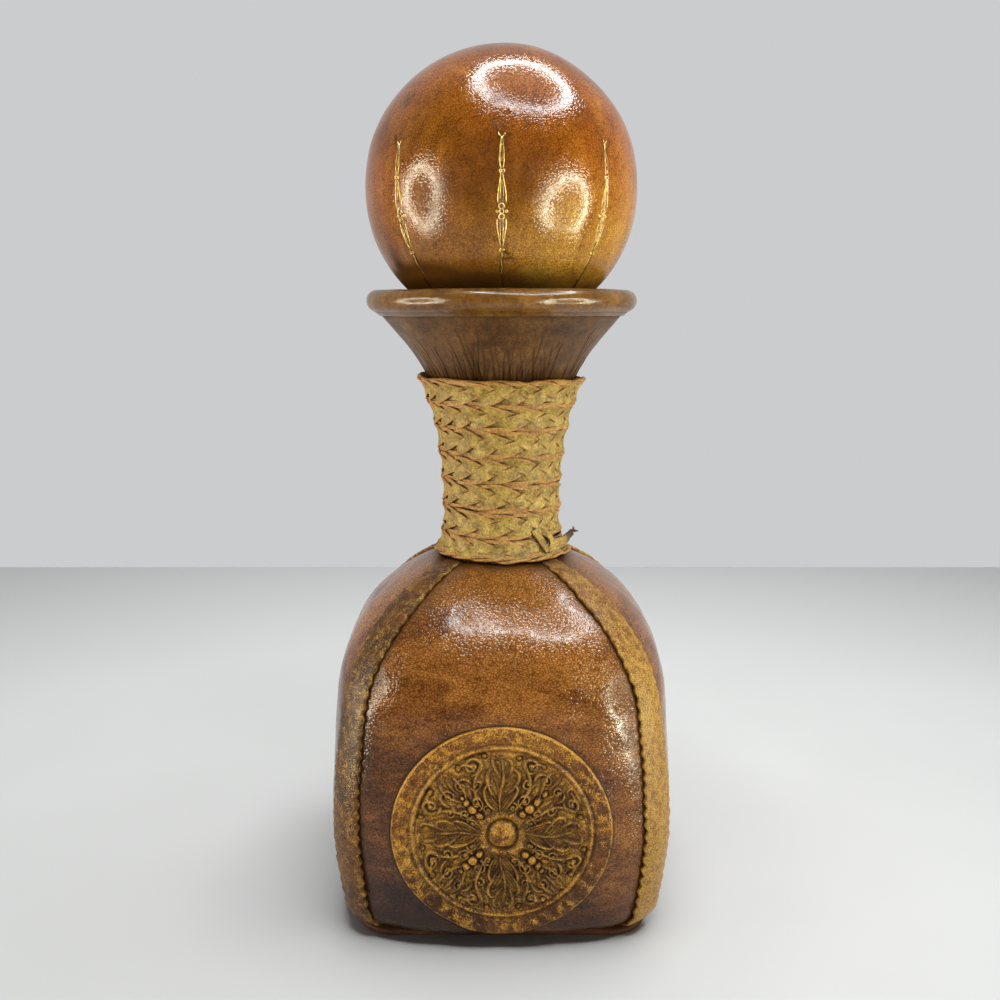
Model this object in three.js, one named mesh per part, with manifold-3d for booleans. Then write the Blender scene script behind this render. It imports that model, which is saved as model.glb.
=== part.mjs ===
// Leather-wrapped decanter: a square glass bottle with a trumpet mouth, dressed in moulded leather panels,
// pinked corner strips, a braided neck winding and a leather-covered ball stopper on a tapered cork.
// Millimetres, +Z up. The origin is the centre of the sole's underside, and the front faces -Y.
import * as THREE from 'three';
import Module from 'manifold-3d';
import { mergeVertices } from 'three/addons/utils/BufferGeometryUtils.js';

const wasm = await Module();
wasm.setup();

// Fit and leather thicknesses
const FIT_GAP = 0.3;
const PANEL_THICKNESS = 1.5;
const STRIP_THICKNESS = 1.4;
const NECK_LEATHER = 1.2;
const SOLE_THICKNESS = 2.0;

// Outside of the glass, as half-widths across the flats and heights stacked from the base
const BASE_HALF_WIDTH = 53.2;
const BASE_EDGE_RADIUS = 6.5;
const SIDE_HEIGHT = 65.5;
const SIDE_BULGE = 2.0;
const SHOULDER_HALF_WIDTH = 52.5;
const SHOULDER_HEIGHT = 38.8;
const SHOULDER_TOP_RADIUS = 20.2;
const SHOULDER_TOP_SLOPE = 26;
const NECK_RADIUS = 15.3;
const NECK_ROOT_HEIGHT = 16.2;
const FLARE_HEIGHT = 69.2;
const MOUTH_RADIUS = 41.2;
const MOUTH_SLOPE = 49.7;

// How far each curve's end runs straight on, as a share of that curve's height
const SHOULDER_SPRING_PULL = 0.5;
const SHOULDER_TOP_PULL = 0.5;
const NECK_PULL = 0.64;
const MOUTH_PULL = 0.3;

// Squareness of the plan: the exponent of a superellipse, 2 where it is round
const BASE_SQUARENESS = 3.4;
const BODY_SQUARENESS = 5.6;
const BASE_SQUARING_RISE = 25;
const SHOULDER_TOP_SQUARENESS = 2.2;

// Glass walls
const BASE_WALL = 6;
const BODY_WALL = 4.5;
const NECK_WALL = 3.6;
const LIP_WALL = 2.5;

// Panels, corner strips and sole
const SEAM_WIDTH = 0.8;
const PANEL_TURN_UNDER = 14;
const STRIP_WIDTH = 11;
const STRIP_END_ANGLE = 57;
const TOOTH_PITCH = 3.8;
const TOOTH_DEPTH = 1.1;
const SOLE_SETBACK = 6.2;
const SOLE_CORNER_RADIUS = 12;

// Medallion
const MEDALLION_DIAMETER = 67.5;
const MEDALLION_EDGE_LAP = 3.75;
const MEDALLION_THICKNESS = 1.0;
const MEDALLION_BORDER_WIDTH = 5.5;
const MEDALLION_BEAD_WIDTH = 1.6;
const MEDALLION_BEAD_HEIGHT = 0.5;
const MEDALLION_BOSS_RADIUS = 5;
const MEDALLION_BOSS_HEIGHT = 1.0;
const MEDALLION_BOSS_CROWN = 0.8;

// Rolled rim and braided winding
const RIM_OVERLAP_ANGLE = 20;
const LINING_DEPTH = 16;
const BRAID_WIDTH = 7.8;
const BRAID_THICKNESS = 3.0;
const BRAID_TURN_GAP = 0.9;
const BRAID_CLEARANCE = 0.5;
const BRAID_BARE_FLARE = 24;
const BRAID_END_TURN = 0.6;
const BRAID_START_ANGLE = -38;
const BRAID_TAIL_RISE = 1.5;

// Stopper
const BALL_DIAMETER = 88.4;
const BALL_SINK = 12.8;
const COVER_THICKNESS = 1.6;
const DART_COUNT = 8;
const DART_WIDTH = 0.4;
const DART_TOP_LATITUDE = 17;
const CORK_TIP_RISE = 7;
const CORK_TAPER = 0.05;
const CORK_CHAMFER = 1.2;
const CORK_SOCKET_DEPTH = 12;

// Facets
const COLUMNS_PER_FACE = 8;
const COLUMNS = 4 * COLUMNS_PER_FACE;
const BRAID_STEPS_PER_TURN = 24;
const BRAID_SIDES = 6;
const BRAID_CLIMB_STAGES = 120;
const CORNER_CROWDING = 0.62;
const EDGE_ROWS = 4;
const SIDE_ROWS = 4;
const SHOULDER_ROWS = 6;
const ROOT_ROWS = 4;
const FLARE_ROWS = 8;
const BORDER_ROWS = 3;
const SOLE_CORNER_FACETS = 5;
const BALL_ROWS = 10;
const BALL_PHASE = 0.5;

const RADIANS = Math.PI / 180;
const lerp = THREE.MathUtils.lerp;
const v2 = (x, z) => new THREE.Vector2(x, z);
const v3 = (x, y, z) => new THREE.Vector3(x, y, z);

// Layers over the glass, as offsets along its outward normal
const PANEL_INNER = FIT_GAP;
const PANEL_OUTER = PANEL_INNER + PANEL_THICKNESS;
const STRIP_INNER = PANEL_OUTER + FIT_GAP;
const STRIP_OUTER = STRIP_INNER + STRIP_THICKNESS;
const SLEEVE_INNER = FIT_GAP;
const SLEEVE_OUTER = SLEEVE_INNER + NECK_LEATHER;
const BRAID_INNER = SLEEVE_OUTER + BRAID_CLEARANCE;
const BRAID_MIDDLE = BRAID_INNER + BRAID_THICKNESS / 2;

// Levels of the glass
const BASE_Z = SOLE_THICKNESS + FIT_GAP + PANEL_OUTER;
const SIDE_Z = BASE_Z + BASE_EDGE_RADIUS;
const SHOULDER_Z = SIDE_Z + SIDE_HEIGHT;
const NECK_ROOT_Z = SHOULDER_Z + SHOULDER_HEIGHT;
const NECK_Z = NECK_ROOT_Z + NECK_ROOT_HEIGHT;
const MOUTH_Z = NECK_Z + FLARE_HEIGHT;

// Outer profile of the glass at the middle of a face, from the base's centre up to the lip
function makeProfile() {
  const meanHalf = (BASE_HALF_WIDTH + SHOULDER_HALF_WIDTH) / 2;
  const sideMiddle = v2(meanHalf + SIDE_BULGE, SIDE_Z + SIDE_HEIGHT / 2);
  const spring = v2(SHOULDER_HALF_WIDTH, SHOULDER_Z);
  const springLean = spring.clone().sub(sideMiddle).normalize();
  const shoulderTop = v2(SHOULDER_TOP_RADIUS, NECK_ROOT_Z);
  const topLean = v2(-Math.cos(SHOULDER_TOP_SLOPE * RADIANS), Math.sin(SHOULDER_TOP_SLOPE * RADIANS));
  const rootRun = (SHOULDER_TOP_RADIUS - NECK_RADIUS) / -topLean.x;
  const neck = v2(NECK_RADIUS, NECK_Z);
  const mouth = v2(MOUTH_RADIUS, MOUTH_Z);
  const mouthLean = v2(Math.cos(MOUTH_SLOPE * RADIANS), Math.sin(MOUTH_SLOPE * RADIANS));
  const reach = (point, direction, length) => point.clone().addScaledVector(direction, length);

  const profile = new THREE.CurvePath();
  profile.add(new THREE.LineCurve(v2(0, BASE_Z), v2(BASE_HALF_WIDTH - BASE_EDGE_RADIUS, BASE_Z)));
  profile.add(new THREE.EllipseCurve(
    BASE_HALF_WIDTH - BASE_EDGE_RADIUS, SIDE_Z, BASE_EDGE_RADIUS, BASE_EDGE_RADIUS, -Math.PI / 2, 0));
  profile.add(new THREE.QuadraticBezierCurve(v2(BASE_HALF_WIDTH, SIDE_Z), sideMiddle, spring));
  profile.add(new THREE.CubicBezierCurve(
    spring,
    reach(spring, springLean, SHOULDER_SPRING_PULL * SHOULDER_HEIGHT),
    reach(shoulderTop, topLean, -SHOULDER_TOP_PULL * SHOULDER_HEIGHT),
    shoulderTop));
  profile.add(new THREE.QuadraticBezierCurve(shoulderTop, reach(shoulderTop, topLean, rootRun), neck));
  profile.add(new THREE.CubicBezierCurve(
    neck,
    v2(NECK_RADIUS, lerp(NECK_Z, MOUTH_Z, NECK_PULL)),
    reach(mouth, mouthLean, -MOUTH_PULL * FLARE_HEIGHT),
    mouth));
  return profile;
}

const PROFILE = makeProfile();
const [UNDERSIDE_END, EDGE_END, SIDE_END, SHOULDER_END, ROOT_END, LIP_END] = PROFILE.getCurveLengths();

// Share of the way from a to b at run s, held between 0 and 1
const share = (s, a, b) => THREE.MathUtils.clamp((s - a) / (b - a), 0, 1);

// Half-width, height and squareness at a run s along the profile, in millimetres from the base's centre
function level(s) {
  const point = PROFILE.getPoint(THREE.MathUtils.clamp(s / LIP_END, 0, 1));
  const squared = share(s, UNDERSIDE_END, EDGE_END + BASE_SQUARING_RISE);
  const body = lerp(BASE_SQUARENESS, BODY_SQUARENESS, squared);
  const shoulder = lerp(body, SHOULDER_TOP_SQUARENESS, share(s, SIDE_END, SHOULDER_END));
  const squareness = lerp(shoulder, 2, share(s, SHOULDER_END, ROOT_END));
  return { half: point.x, z: point.y, squareness };
}

function radiusAt({ half, squareness }, angle) {
  const sum = Math.abs(Math.cos(angle)) ** squareness + Math.abs(Math.sin(angle)) ** squareness;
  return half * sum ** (-1 / squareness);
}

function glassPoint(s, angle) {
  const at = level(s);
  const radius = radiusAt(at, angle);
  return v3(radius * Math.cos(angle), radius * Math.sin(angle), at.z);
}

// Outward normal of the glass and the direction up its profile
function glassFrame(s, angle) {
  const step = 0.05;
  const turn = 0.002;
  const low = Math.max(s - step, step);
  const high = Math.min(s + step, LIP_END);
  const up = glassPoint(high, angle).sub(glassPoint(low, angle)).normalize();
  const round = glassPoint(s, angle + turn).sub(glassPoint(s, angle - turn)).normalize();
  const normal = round.clone().cross(up).normalize();
  return { normal, up: normal.clone().cross(round).normalize() };
}

// Point at an offset from the glass
function skinPoint(s, angle, offset) {
  return glassPoint(s, angle).addScaledVector(glassFrame(s, angle).normal, offset);
}

// Values with a number of equal steps between each pair of stops
function stepped(stops, counts) {
  const list = [stops[0]];
  counts.forEach((count, i) => {
    for (let k = 1; k <= count; k += 1) list.push(lerp(stops[i], stops[i + 1], k / count));
  });
  return list;
}

// Angle of a column in one face, from -45 to 45 degrees: close at the corners where the plan is square
function faceAngle(column, s) {
  const even = (2 * column) / COLUMNS_PER_FACE - 1;
  const crowded = lerp(even, Math.sin((even * Math.PI) / 2), CORNER_CROWDING);
  const roundness = share(s, SIDE_END, ROOT_END);
  return lerp(crowded, even, roundness) * 45 * RADIANS;
}

// Angle of a column counted right round the bottle
function columnAngle(k, s) {
  const face = Math.floor(k / COLUMNS_PER_FACE);
  return face * 90 * RADIANS + faceAngle(k % COLUMNS_PER_FACE, s);
}

// Ring of points round the bottle at an offset from the glass
function skinRing(s, offset) {
  return Array.from({ length: COLUMNS }, (unused, k) => skinPoint(s, columnAngle(k, s), offset));
}

// Closed geometry from points and triangles, with its faces turned outwards
function geometryOf(points, faces) {
  let volume = 0;
  for (const [a, b, c] of faces) volume += points[a].dot(points[b].clone().cross(points[c]));
  const index = faces.flatMap(([a, b, c]) => (volume > 0 ? [a, b, c] : [a, c, b]));
  const geometry = new THREE.BufferGeometry();
  const positions = points.flatMap((p) => p.toArray());
  geometry.setAttribute('position', new THREE.Float32BufferAttribute(positions, 3));
  geometry.setIndex(index);
  geometry.computeVertexNormals();
  return geometry;
}

// Solid through rings of equal length. A ring of one point is a pole.
// A looped solid closes on its first ring.
function ringSolid(rings, looped = false) {
  const points = rings.flat();
  const starts = [];
  rings.reduce((start, ring) => {
    starts.push(start);
    return start + ring.length;
  }, 0);
  const faces = [];
  const last = looped ? rings.length : rings.length - 1;
  for (let r = 0; r < last; r += 1) {
    const next = (r + 1) % rings.length;
    const count = Math.max(rings[r].length, rings[next].length);
    for (let k = 0; k < count; k += 1) {
      const low = (i) => starts[r] + (rings[r].length === 1 ? 0 : i % count);
      const high = (i) => starts[next] + (rings[next].length === 1 ? 0 : i % count);
      if (rings[r].length > 1) faces.push([low(k), low(k + 1), high(k)]);
      if (rings[next].length > 1) faces.push([low(k + 1), high(k + 1), high(k)]);
    }
  }
  return geometryOf(points, faces);
}

// Solid of revolution through a profile of radius and height points
function revolve(profile, looped = false, phase = 0) {
  const rings = profile.map((p) => {
    if (p.x === 0) return [v3(0, 0, p.y)];
    return Array.from({ length: COLUMNS }, (unused, k) => {
      const angle = ((k + phase) / COLUMNS) * 2 * Math.PI;
      return v3(p.x * Math.cos(angle), p.x * Math.sin(angle), p.y);
    });
  });
  return ringSolid(rings, looped);
}

// Triangles that join two chains of points, each stepping on by its run along the profile
function bridge(a, b) {
  const faces = [];
  let i = 0;
  let j = 0;
  while (i < a.length - 1 || j < b.length - 1) {
    const stepA = j === b.length - 1 || (i < a.length - 1 && a[i + 1].s <= b[j + 1].s);
    if (stepA) {
      faces.push([a[i].id, a[i + 1].id, b[j].id]);
      i += 1;
    } else {
      faces.push([a[i].id, b[j + 1].id, b[j].id]);
      j += 1;
    }
  }
  return faces;
}

// Leather sheet over the glass: chains of {s, angle} side by side, between two offsets
function sheetSolid(chains, inner, outer) {
  const points = [];
  const place = (offset) => chains.map((chain) => chain.map(({ s, angle }) => {
    points.push(skinPoint(s, angle, offset));
    return { s, id: points.length - 1 };
  }));
  const top = place(outer);
  const under = place(inner);
  const flipped = (faces) => faces.map(([a, b, c]) => [a, c, b]);
  const faces = [];
  for (let c = 0; c < chains.length - 1; c += 1) {
    faces.push(...bridge(top[c], top[c + 1]), ...flipped(bridge(under[c], under[c + 1])));
    for (const end of [0, -1]) {
      const corners = [top[c].at(end), top[c + 1].at(end), under[c + 1].at(end), under[c].at(end)];
      const [p, q, r, t] = corners.map((corner) => corner.id);
      faces.push(...(end === 0 ? [[p, q, r], [p, r, t]] : [[p, r, q], [p, t, r]]));
    }
  }
  faces.push(...bridge(under[0], top[0]), ...bridge(top.at(-1), under.at(-1)));
  return geometryOf(points, faces);
}

// Glass bottle: the outer skin, the rounded lip and the inside, in one closed shell
function wallAt(s) {
  const side = lerp(BASE_WALL, BODY_WALL, share(s, UNDERSIDE_END, EDGE_END));
  const neck = lerp(side, NECK_WALL, share(s, SIDE_END, ROOT_END));
  return lerp(neck, LIP_WALL, share(s, ROOT_END, LIP_END));
}

function bottleGeometry() {
  const stops = [UNDERSIDE_END, EDGE_END, SIDE_END, SHOULDER_END, ROOT_END, LIP_END];
  const lip = (turn) => {
    const swing = (1 - Math.cos(turn)) / 2;
    const rise = (LIP_WALL / 2) * Math.sin(turn);
    return skinRing(LIP_END, -swing * LIP_WALL).map(
      (p, k) => p.addScaledVector(glassFrame(LIP_END, columnAngle(k, LIP_END)).up, rise));
  };
  const rows = [EDGE_ROWS, SIDE_ROWS, SHOULDER_ROWS, ROOT_ROWS, FLARE_ROWS];
  const outside = stepped(stops, rows).map((s) => skinRing(s, 0));
  const lipTurns = [45, 90, 135].map((degrees) => lip(degrees * RADIANS));
  const inside = stepped(stops, [2, 3, 4, 3, 5]).reverse().map((s) => skinRing(s, -wallAt(s)));
  return ringSolid([
    [v3(0, 0, BASE_Z)], ...outside, ...lipTurns, ...inside, [v3(0, 0, BASE_Z + BASE_WALL)]]);
}

// Panels: one on each face, parted by a seam on the diagonals
const SKIN_START = UNDERSIDE_END - PANEL_TURN_UNDER;
const SKIN_TOP = SHOULDER_END - FIT_GAP / 2;
const panelRuns = stepped(
  [SKIN_START, UNDERSIDE_END, EDGE_END, SIDE_END, SKIN_TOP], [1, EDGE_ROWS, SIDE_ROWS, SHOULDER_ROWS]);

// Angle that a lateral distance from a diagonal makes at a run along the profile
function lateralTurn(s, distance) {
  return Math.asin(distance / radiusAt(level(s), 45 * RADIANS));
}

function panelGeometry(facing) {
  const chains = [];
  for (let c = 0; c <= COLUMNS_PER_FACE; c += 1) {
    chains.push(panelRuns.map((s) => {
      const room = 1 - lateralTurn(s, SEAM_WIDTH / 2) / (45 * RADIANS);
      return { s, angle: facing * RADIANS + faceAngle(c, s) * room };
    }));
  }
  return sheetSolid(chains, PANEL_INNER, PANEL_OUTER);
}

// Corner strips: over the seams, from above the sole to the braid, with pinked edges
function stripGeometry(diagonal) {
  const start = UNDERSIDE_END + (90 - STRIP_END_ANGLE) * RADIANS * BASE_EDGE_RADIUS;
  const teeth = Math.round((SKIN_TOP - start) / TOOTH_PITCH);
  const toothRuns = stepped([start, SKIN_TOP], [2 * teeth]);
  const plainRuns = [start, ...panelRuns.filter((s) => s > start + TOOTH_PITCH / 4)];
  const angleOf = (s, distance) => diagonal * RADIANS + lateralTurn(s, distance);
  const straight = (distance) => plainRuns.map((s) => ({ s, angle: angleOf(s, distance) }));
  const pinked = (side) => toothRuns.map((s, k) => {
    const edge = STRIP_WIDTH / 2 - (k % 2) * TOOTH_DEPTH;
    return { s, angle: angleOf(s, side * edge) };
  });
  const inset = STRIP_WIDTH / 2 - 2 * TOOTH_DEPTH;
  return sheetSolid(
    [pinked(-1), straight(-inset), straight(0), straight(inset), pinked(1)], STRIP_INNER, STRIP_OUTER);
}

// Sole: a flat leather square with round corners, which the decanter stands on
function soleGeometry() {
  const half = BASE_HALF_WIDTH - SOLE_SETBACK;
  const inset = half - SOLE_CORNER_RADIUS;
  const shape = new THREE.Shape();
  shape.absarc(inset, inset, SOLE_CORNER_RADIUS, 0, Math.PI / 2);
  shape.absarc(-inset, inset, SOLE_CORNER_RADIUS, Math.PI / 2, Math.PI);
  shape.absarc(-inset, -inset, SOLE_CORNER_RADIUS, Math.PI, 1.5 * Math.PI);
  shape.absarc(inset, -inset, SOLE_CORNER_RADIUS, 1.5 * Math.PI, 2 * Math.PI);
  return new THREE.ExtrudeGeometry(shape, {
    depth: SOLE_THICKNESS, bevelEnabled: false, curveSegments: SOLE_CORNER_FACETS });
}

// Medallion: a disc moulded to the front panel, with a border, a raised bead and a centre boss
function medallionGeometry() {
  const radius = MEDALLION_DIAMETER / 2;
  const centre = EDGE_END - MEDALLION_EDGE_LAP + radius;
  const under = PANEL_OUTER + FIT_GAP;
  const face = under + MEDALLION_THICKNESS;
  const bead = radius - MEDALLION_BORDER_WIDTH;
  const middle = (MEDALLION_BOSS_RADIUS + bead) / 2;
  const place = (r, turn, offset) => {
    const s = centre + r * Math.sin(turn);
    const across = r * Math.cos(turn);
    const { half, squareness } = level(s);
    const depth = (half ** squareness - Math.abs(across) ** squareness) ** (1 / squareness);
    return skinPoint(s, Math.atan2(-depth, across), offset);
  };
  const ring = ([r, offset]) => {
    if (r === 0) return [place(0, 0, offset)];
    return Array.from({ length: COLUMNS }, (unused, k) => place(r, (k / COLUMNS) * 2 * Math.PI, offset));
  };
  const top = [
    [0, face + MEDALLION_BOSS_HEIGHT],
    [MEDALLION_BOSS_CROWN * MEDALLION_BOSS_RADIUS, face + MEDALLION_BOSS_CROWN * MEDALLION_BOSS_HEIGHT],
    [MEDALLION_BOSS_RADIUS, face],
    [middle, face],
    [bead - MEDALLION_BEAD_WIDTH, face],
    [bead - MEDALLION_BEAD_WIDTH / 2, face + MEDALLION_BEAD_HEIGHT],
    ...stepped([bead, radius], [BORDER_ROWS]).map((r) => [r, face]),
  ];
  const bottom = [...stepped([radius, bead], [BORDER_ROWS]), middle, 0].map((r) => [r, under]);
  return ringSolid([...top, ...bottom].map(ring));
}

// Collar: the leather skin of the neck and the trumpet, from the panels' tops to the lip
function collarGeometry() {
  const stops = [SHOULDER_END + FIT_GAP / 2, ROOT_END, LIP_END - FIT_GAP];
  const heights = stepped(stops, [ROOT_ROWS, FLARE_ROWS]);
  const inner = heights.map((s) => skinRing(s, SLEEVE_INNER));
  const outer = heights.toReversed().map((s) => skinRing(s, SLEEVE_OUTER));
  return ringSolid([...inner, ...outer], true);
}

// Rim band: a bead rolled over the collar's edge and the lip, then a lining down the inside of the funnel
const RIM_OUTSIDE = SLEEVE_OUTER + FIT_GAP;
const RIM_INSIDE = -LIP_WALL - FIT_GAP;
const RIM_HOLLOW_RADIUS = (RIM_OUTSIDE - RIM_INSIDE) / 2;
const RIM_BEAD_RADIUS = RIM_HOLLOW_RADIUS + NECK_LEATHER;
const RIM_CENTRE = skinPoint(LIP_END, 0, (RIM_OUTSIDE + RIM_INSIDE) / 2);
const RIM_TOP_Z = RIM_CENTRE.z + RIM_BEAD_RADIUS;

function sectionOf(point) {
  return v2(Math.hypot(point.x, point.y), point.z);
}

function rimGeometry() {
  const { normal, up } = glassFrame(LIP_END, 0);
  const bead = (radius, degrees) => {
    const turn = degrees * RADIANS;
    const point = RIM_CENTRE.clone();
    point.addScaledVector(normal, radius * Math.cos(turn));
    point.addScaledVector(up, radius * Math.sin(turn));
    return sectionOf(point);
  };
  const turns = stepped([-RIM_OVERLAP_ANGLE, 180], [8]);
  const lining = stepped([LIP_END, LIP_END - LINING_DEPTH], [2]).slice(1);
  const lined = (s, depth) => sectionOf(skinPoint(s, 0, -wallAt(s) - FIT_GAP - depth));
  return revolve([
    ...turns.map((degrees) => bead(RIM_BEAD_RADIUS, degrees)),
    ...lining.map((s) => lined(s, NECK_LEATHER)),
    ...lining.toReversed().map((s) => lined(s, 0)),
    ...turns.toReversed().map((degrees) => bead(RIM_HOLLOW_RADIUS, degrees)),
  ], true);
}

// Braid: one flat tube wound up the neck, clockwise seen from above, with straight ends
function braidRings() {
  const pitch = BRAID_WIDTH + BRAID_TURN_GAP;
  const bottom = SHOULDER_END + FIT_GAP;
  const stages = stepped([bottom, LIP_END - BRAID_BARE_FLARE], [BRAID_CLIMB_STAGES]);
  const climb = new THREE.CurvePath();
  stages.slice(1).forEach((s, k) => climb.add(new THREE.LineCurve3(
    skinPoint(stages[k], 0, BRAID_MIDDLE), skinPoint(s, 0, BRAID_MIDDLE))));
  const climbLengths = [0, ...climb.getCurveLengths()];
  const room = climbLengths.at(-1) - BRAID_WIDTH - FIT_GAP;
  const turnCount = Math.round(room / pitch - BRAID_END_TURN) + BRAID_END_TURN;
  const steps = Math.round(turnCount * BRAID_STEPS_PER_TURN);
  const runAfter = (distance) => {
    const next = climbLengths.findIndex((length) => length > distance);
    return lerp(stages[next - 1], stages[next],
      share(distance, climbLengths[next - 1], climbLengths[next]));
  };
  const section = (centre, { normal, up }) => Array.from({ length: BRAID_SIDES }, (unused, k) => {
    const turn = (k / BRAID_SIDES) * 2 * Math.PI;
    const flat = Math.sin(Math.PI / 3);
    return centre.clone()
      .addScaledVector(up, (BRAID_WIDTH / 2) * Math.cos(turn))
      .addScaledVector(normal, (BRAID_THICKNESS / 2) * (Math.sin(turn) / flat));
  });
  const turns = [];
  for (let k = 0; k <= steps; k += 1) {
    const run = runAfter(FIT_GAP + BRAID_WIDTH / 2 + ((room / turnCount) * k) / BRAID_STEPS_PER_TURN);
    const angle = BRAID_START_ANGLE * RADIANS - (k / BRAID_STEPS_PER_TURN) * 2 * Math.PI;
    turns.push({ centre: skinPoint(run, angle, BRAID_MIDDLE), frame: glassFrame(run, angle) });
  }
  const straightEnd = (first, second, rise) => {
    const direction = first.centre.clone().sub(second.centre).normalize();
    const centre = first.centre.clone().addScaledVector(direction, BRAID_WIDTH);
    centre.z += rise;
    return { centre, frame: first.frame };
  };
  const tail = straightEnd(turns[0], turns[1], BRAID_TAIL_RISE);
  const path = [tail, ...turns, straightEnd(turns.at(-1), turns.at(-2), 0)];
  return path.map(({ centre, frame }) => section(centre, frame));
}

// Least distance between points of the winding that lie more than half a turn apart
function leastGap(rings) {
  let least = Infinity;
  const withMiddles = (ring) => ring.flatMap((p, k) => {
    const next = ring[(k + 1) % ring.length];
    return [p, p.clone().lerp(next, 0.5)];
  });
  const dense = rings.map(withMiddles);
  for (let i = 0; i < dense.length; i += 1) {
    const past = i + BRAID_STEPS_PER_TURN / 2;
    for (let j = past; j < Math.min(dense.length, i + 2 * BRAID_STEPS_PER_TURN); j += 1) {
      for (const p of dense[i]) {
        for (const q of dense[j]) least = Math.min(least, p.distanceTo(q));
      }
    }
  }
  return least;
}

function braidGeometry() {
  const rings = braidRings();
  console.log(`neck braid, least gap to itself: ${leastGap(rings).toFixed(2)} mm`);
  const middle = (ring) => ring.reduce((sum, p) => sum.add(p), v3(0, 0, 0)).divideScalar(ring.length);
  return ringSolid([[middle(rings[0])], ...rings, [middle(rings.at(-1))]]);
}

// Stopper: a wooden ball on a tapered cork, in a leather cover slit into gores by darts
const BALL_RADIUS = BALL_DIAMETER / 2;
const BALL_Z = RIM_TOP_Z - BALL_SINK + BALL_RADIUS;
const COVER_INNER_RADIUS = BALL_RADIUS - COVER_THICKNESS;
const CORE_RADIUS = COVER_INNER_RADIUS - FIT_GAP;
const CORK_TIP_Z = NECK_Z + CORK_TIP_RISE;
const CORK_TIP_RADIUS = NECK_RADIUS - NECK_WALL - FIT_GAP;
const CORK_SHOULDER_Z = BALL_Z - CORE_RADIUS;
const CORK_RADIUS = CORK_TIP_RADIUS + CORK_TAPER * (CORK_SHOULDER_Z - CORK_TIP_Z);
const SOCKET_RADIUS = CORK_RADIUS + FIT_GAP;
const SOCKET_TOP_Z = CORK_SHOULDER_Z + CORK_SOCKET_DEPTH;

// Points down a sphere from its top to the level where its radius is that of an opening
function sphereProfile(radius, opening) {
  const end = Math.PI - Math.asin(opening / radius);
  return Array.from({ length: BALL_ROWS }, (unused, k) => {
    const turn = (end * (k + 1)) / BALL_ROWS;
    return v2(radius * Math.sin(turn), BALL_Z + radius * Math.cos(turn));
  });
}

function coreGeometry() {
  return revolve([
    v2(0, BALL_Z + CORE_RADIUS),
    ...sphereProfile(CORE_RADIUS, SOCKET_RADIUS),
    v2(SOCKET_RADIUS, SOCKET_TOP_Z),
    v2(0, SOCKET_TOP_Z),
  ], false, BALL_PHASE);
}

function corkGeometry() {
  return revolve([
    v2(0, CORK_TIP_Z),
    v2(CORK_TIP_RADIUS - CORK_CHAMFER, CORK_TIP_Z),
    v2(CORK_TIP_RADIUS, CORK_TIP_Z + CORK_CHAMFER),
    v2(CORK_RADIUS, CORK_SHOULDER_Z),
    v2(CORK_RADIUS, SOCKET_TOP_Z - FIT_GAP),
    v2(0, SOCKET_TOP_Z - FIT_GAP),
  ], false, BALL_PHASE);
}

// Conversions between three.js geometry and solids for cutting
function solidOf(geometry) {
  const bare = geometry.clone();
  bare.deleteAttribute('normal');
  bare.deleteAttribute('uv');
  const merged = mergeVertices(bare, 1e-4);
  return new wasm.Manifold(new wasm.Mesh({
    numProp: 3,
    vertProperties: new Float32Array(merged.attributes.position.array),
    triVerts: new Uint32Array(merged.index.array),
  }));
}

function geometryOfSolid(solid) {
  const { vertProperties, triVerts } = solid.getMesh();
  const geometry = new THREE.BufferGeometry();
  geometry.setAttribute('position', new THREE.BufferAttribute(vertProperties, 3));
  geometry.setIndex(new THREE.BufferAttribute(triVerts, 1));
  geometry.computeVertexNormals();
  return geometry;
}

function coverGeometry() {
  const opening = SOCKET_RADIUS + FIT_GAP;
  const shell = revolve([
    v2(0, BALL_Z + BALL_RADIUS),
    ...sphereProfile(BALL_RADIUS, opening),
    ...sphereProfile(COVER_INNER_RADIUS, opening).reverse(),
    v2(0, BALL_Z + COVER_INNER_RADIUS),
  ], false, BALL_PHASE);
  const top = BALL_RADIUS * Math.sin(DART_TOP_LATITUDE * RADIANS);
  const height = top + BALL_DIAMETER;
  let cover = solidOf(shell);
  for (let k = 0; k < DART_COUNT; k += 1) {
    const slit = new THREE.BoxGeometry(BALL_DIAMETER, DART_WIDTH, height);
    slit.translate(BALL_RADIUS, 0, BALL_Z + top - height / 2);
    slit.rotateZ((k / DART_COUNT) * 2 * Math.PI - Math.PI / 2);
    cover = cover.subtract(solidOf(slit));
  }
  return geometryOfSolid(cover);
}

// Materials
const leather = (color, roughness) => new THREE.MeshStandardMaterial({ color, roughness, metalness: 0 });

const group = new THREE.Group();

function addPiece(name, geometry, material) {
  const mesh = new THREE.Mesh(geometry, material);
  mesh.name = name;
  group.add(mesh);
}

addPiece('glass_bottle', bottleGeometry(), new THREE.MeshStandardMaterial({
  color: 0x5d7a5a, roughness: 0.05, metalness: 0, transparent: true, opacity: 0.4 }));
const PANEL_FACINGS = { front_panel: -90, right_panel: 0, back_panel: 90, left_panel: 180 };
for (const [name, facing] of Object.entries(PANEL_FACINGS)) {
  addPiece(name, panelGeometry(facing), leather(0x6f4120, 0.45));
}
const STRIP_DIAGONALS = { front_left: -135, front_right: -45, back_right: 45, back_left: 135 };
for (const [corner, diagonal] of Object.entries(STRIP_DIAGONALS)) {
  addPiece(`corner_strip_${corner}`, stripGeometry(diagonal), leather(0x7a5a24, 0.6));
}
addPiece('base_sole', soleGeometry(), leather(0x5a3020, 0.7));
addPiece('medallion', medallionGeometry(), leather(0x6b4a1c, 0.55));
addPiece('collar_sleeve', collarGeometry(), leather(0x5c3a1c, 0.5));
addPiece('rim_band', rimGeometry(), leather(0x6a4420, 0.4));
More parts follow.
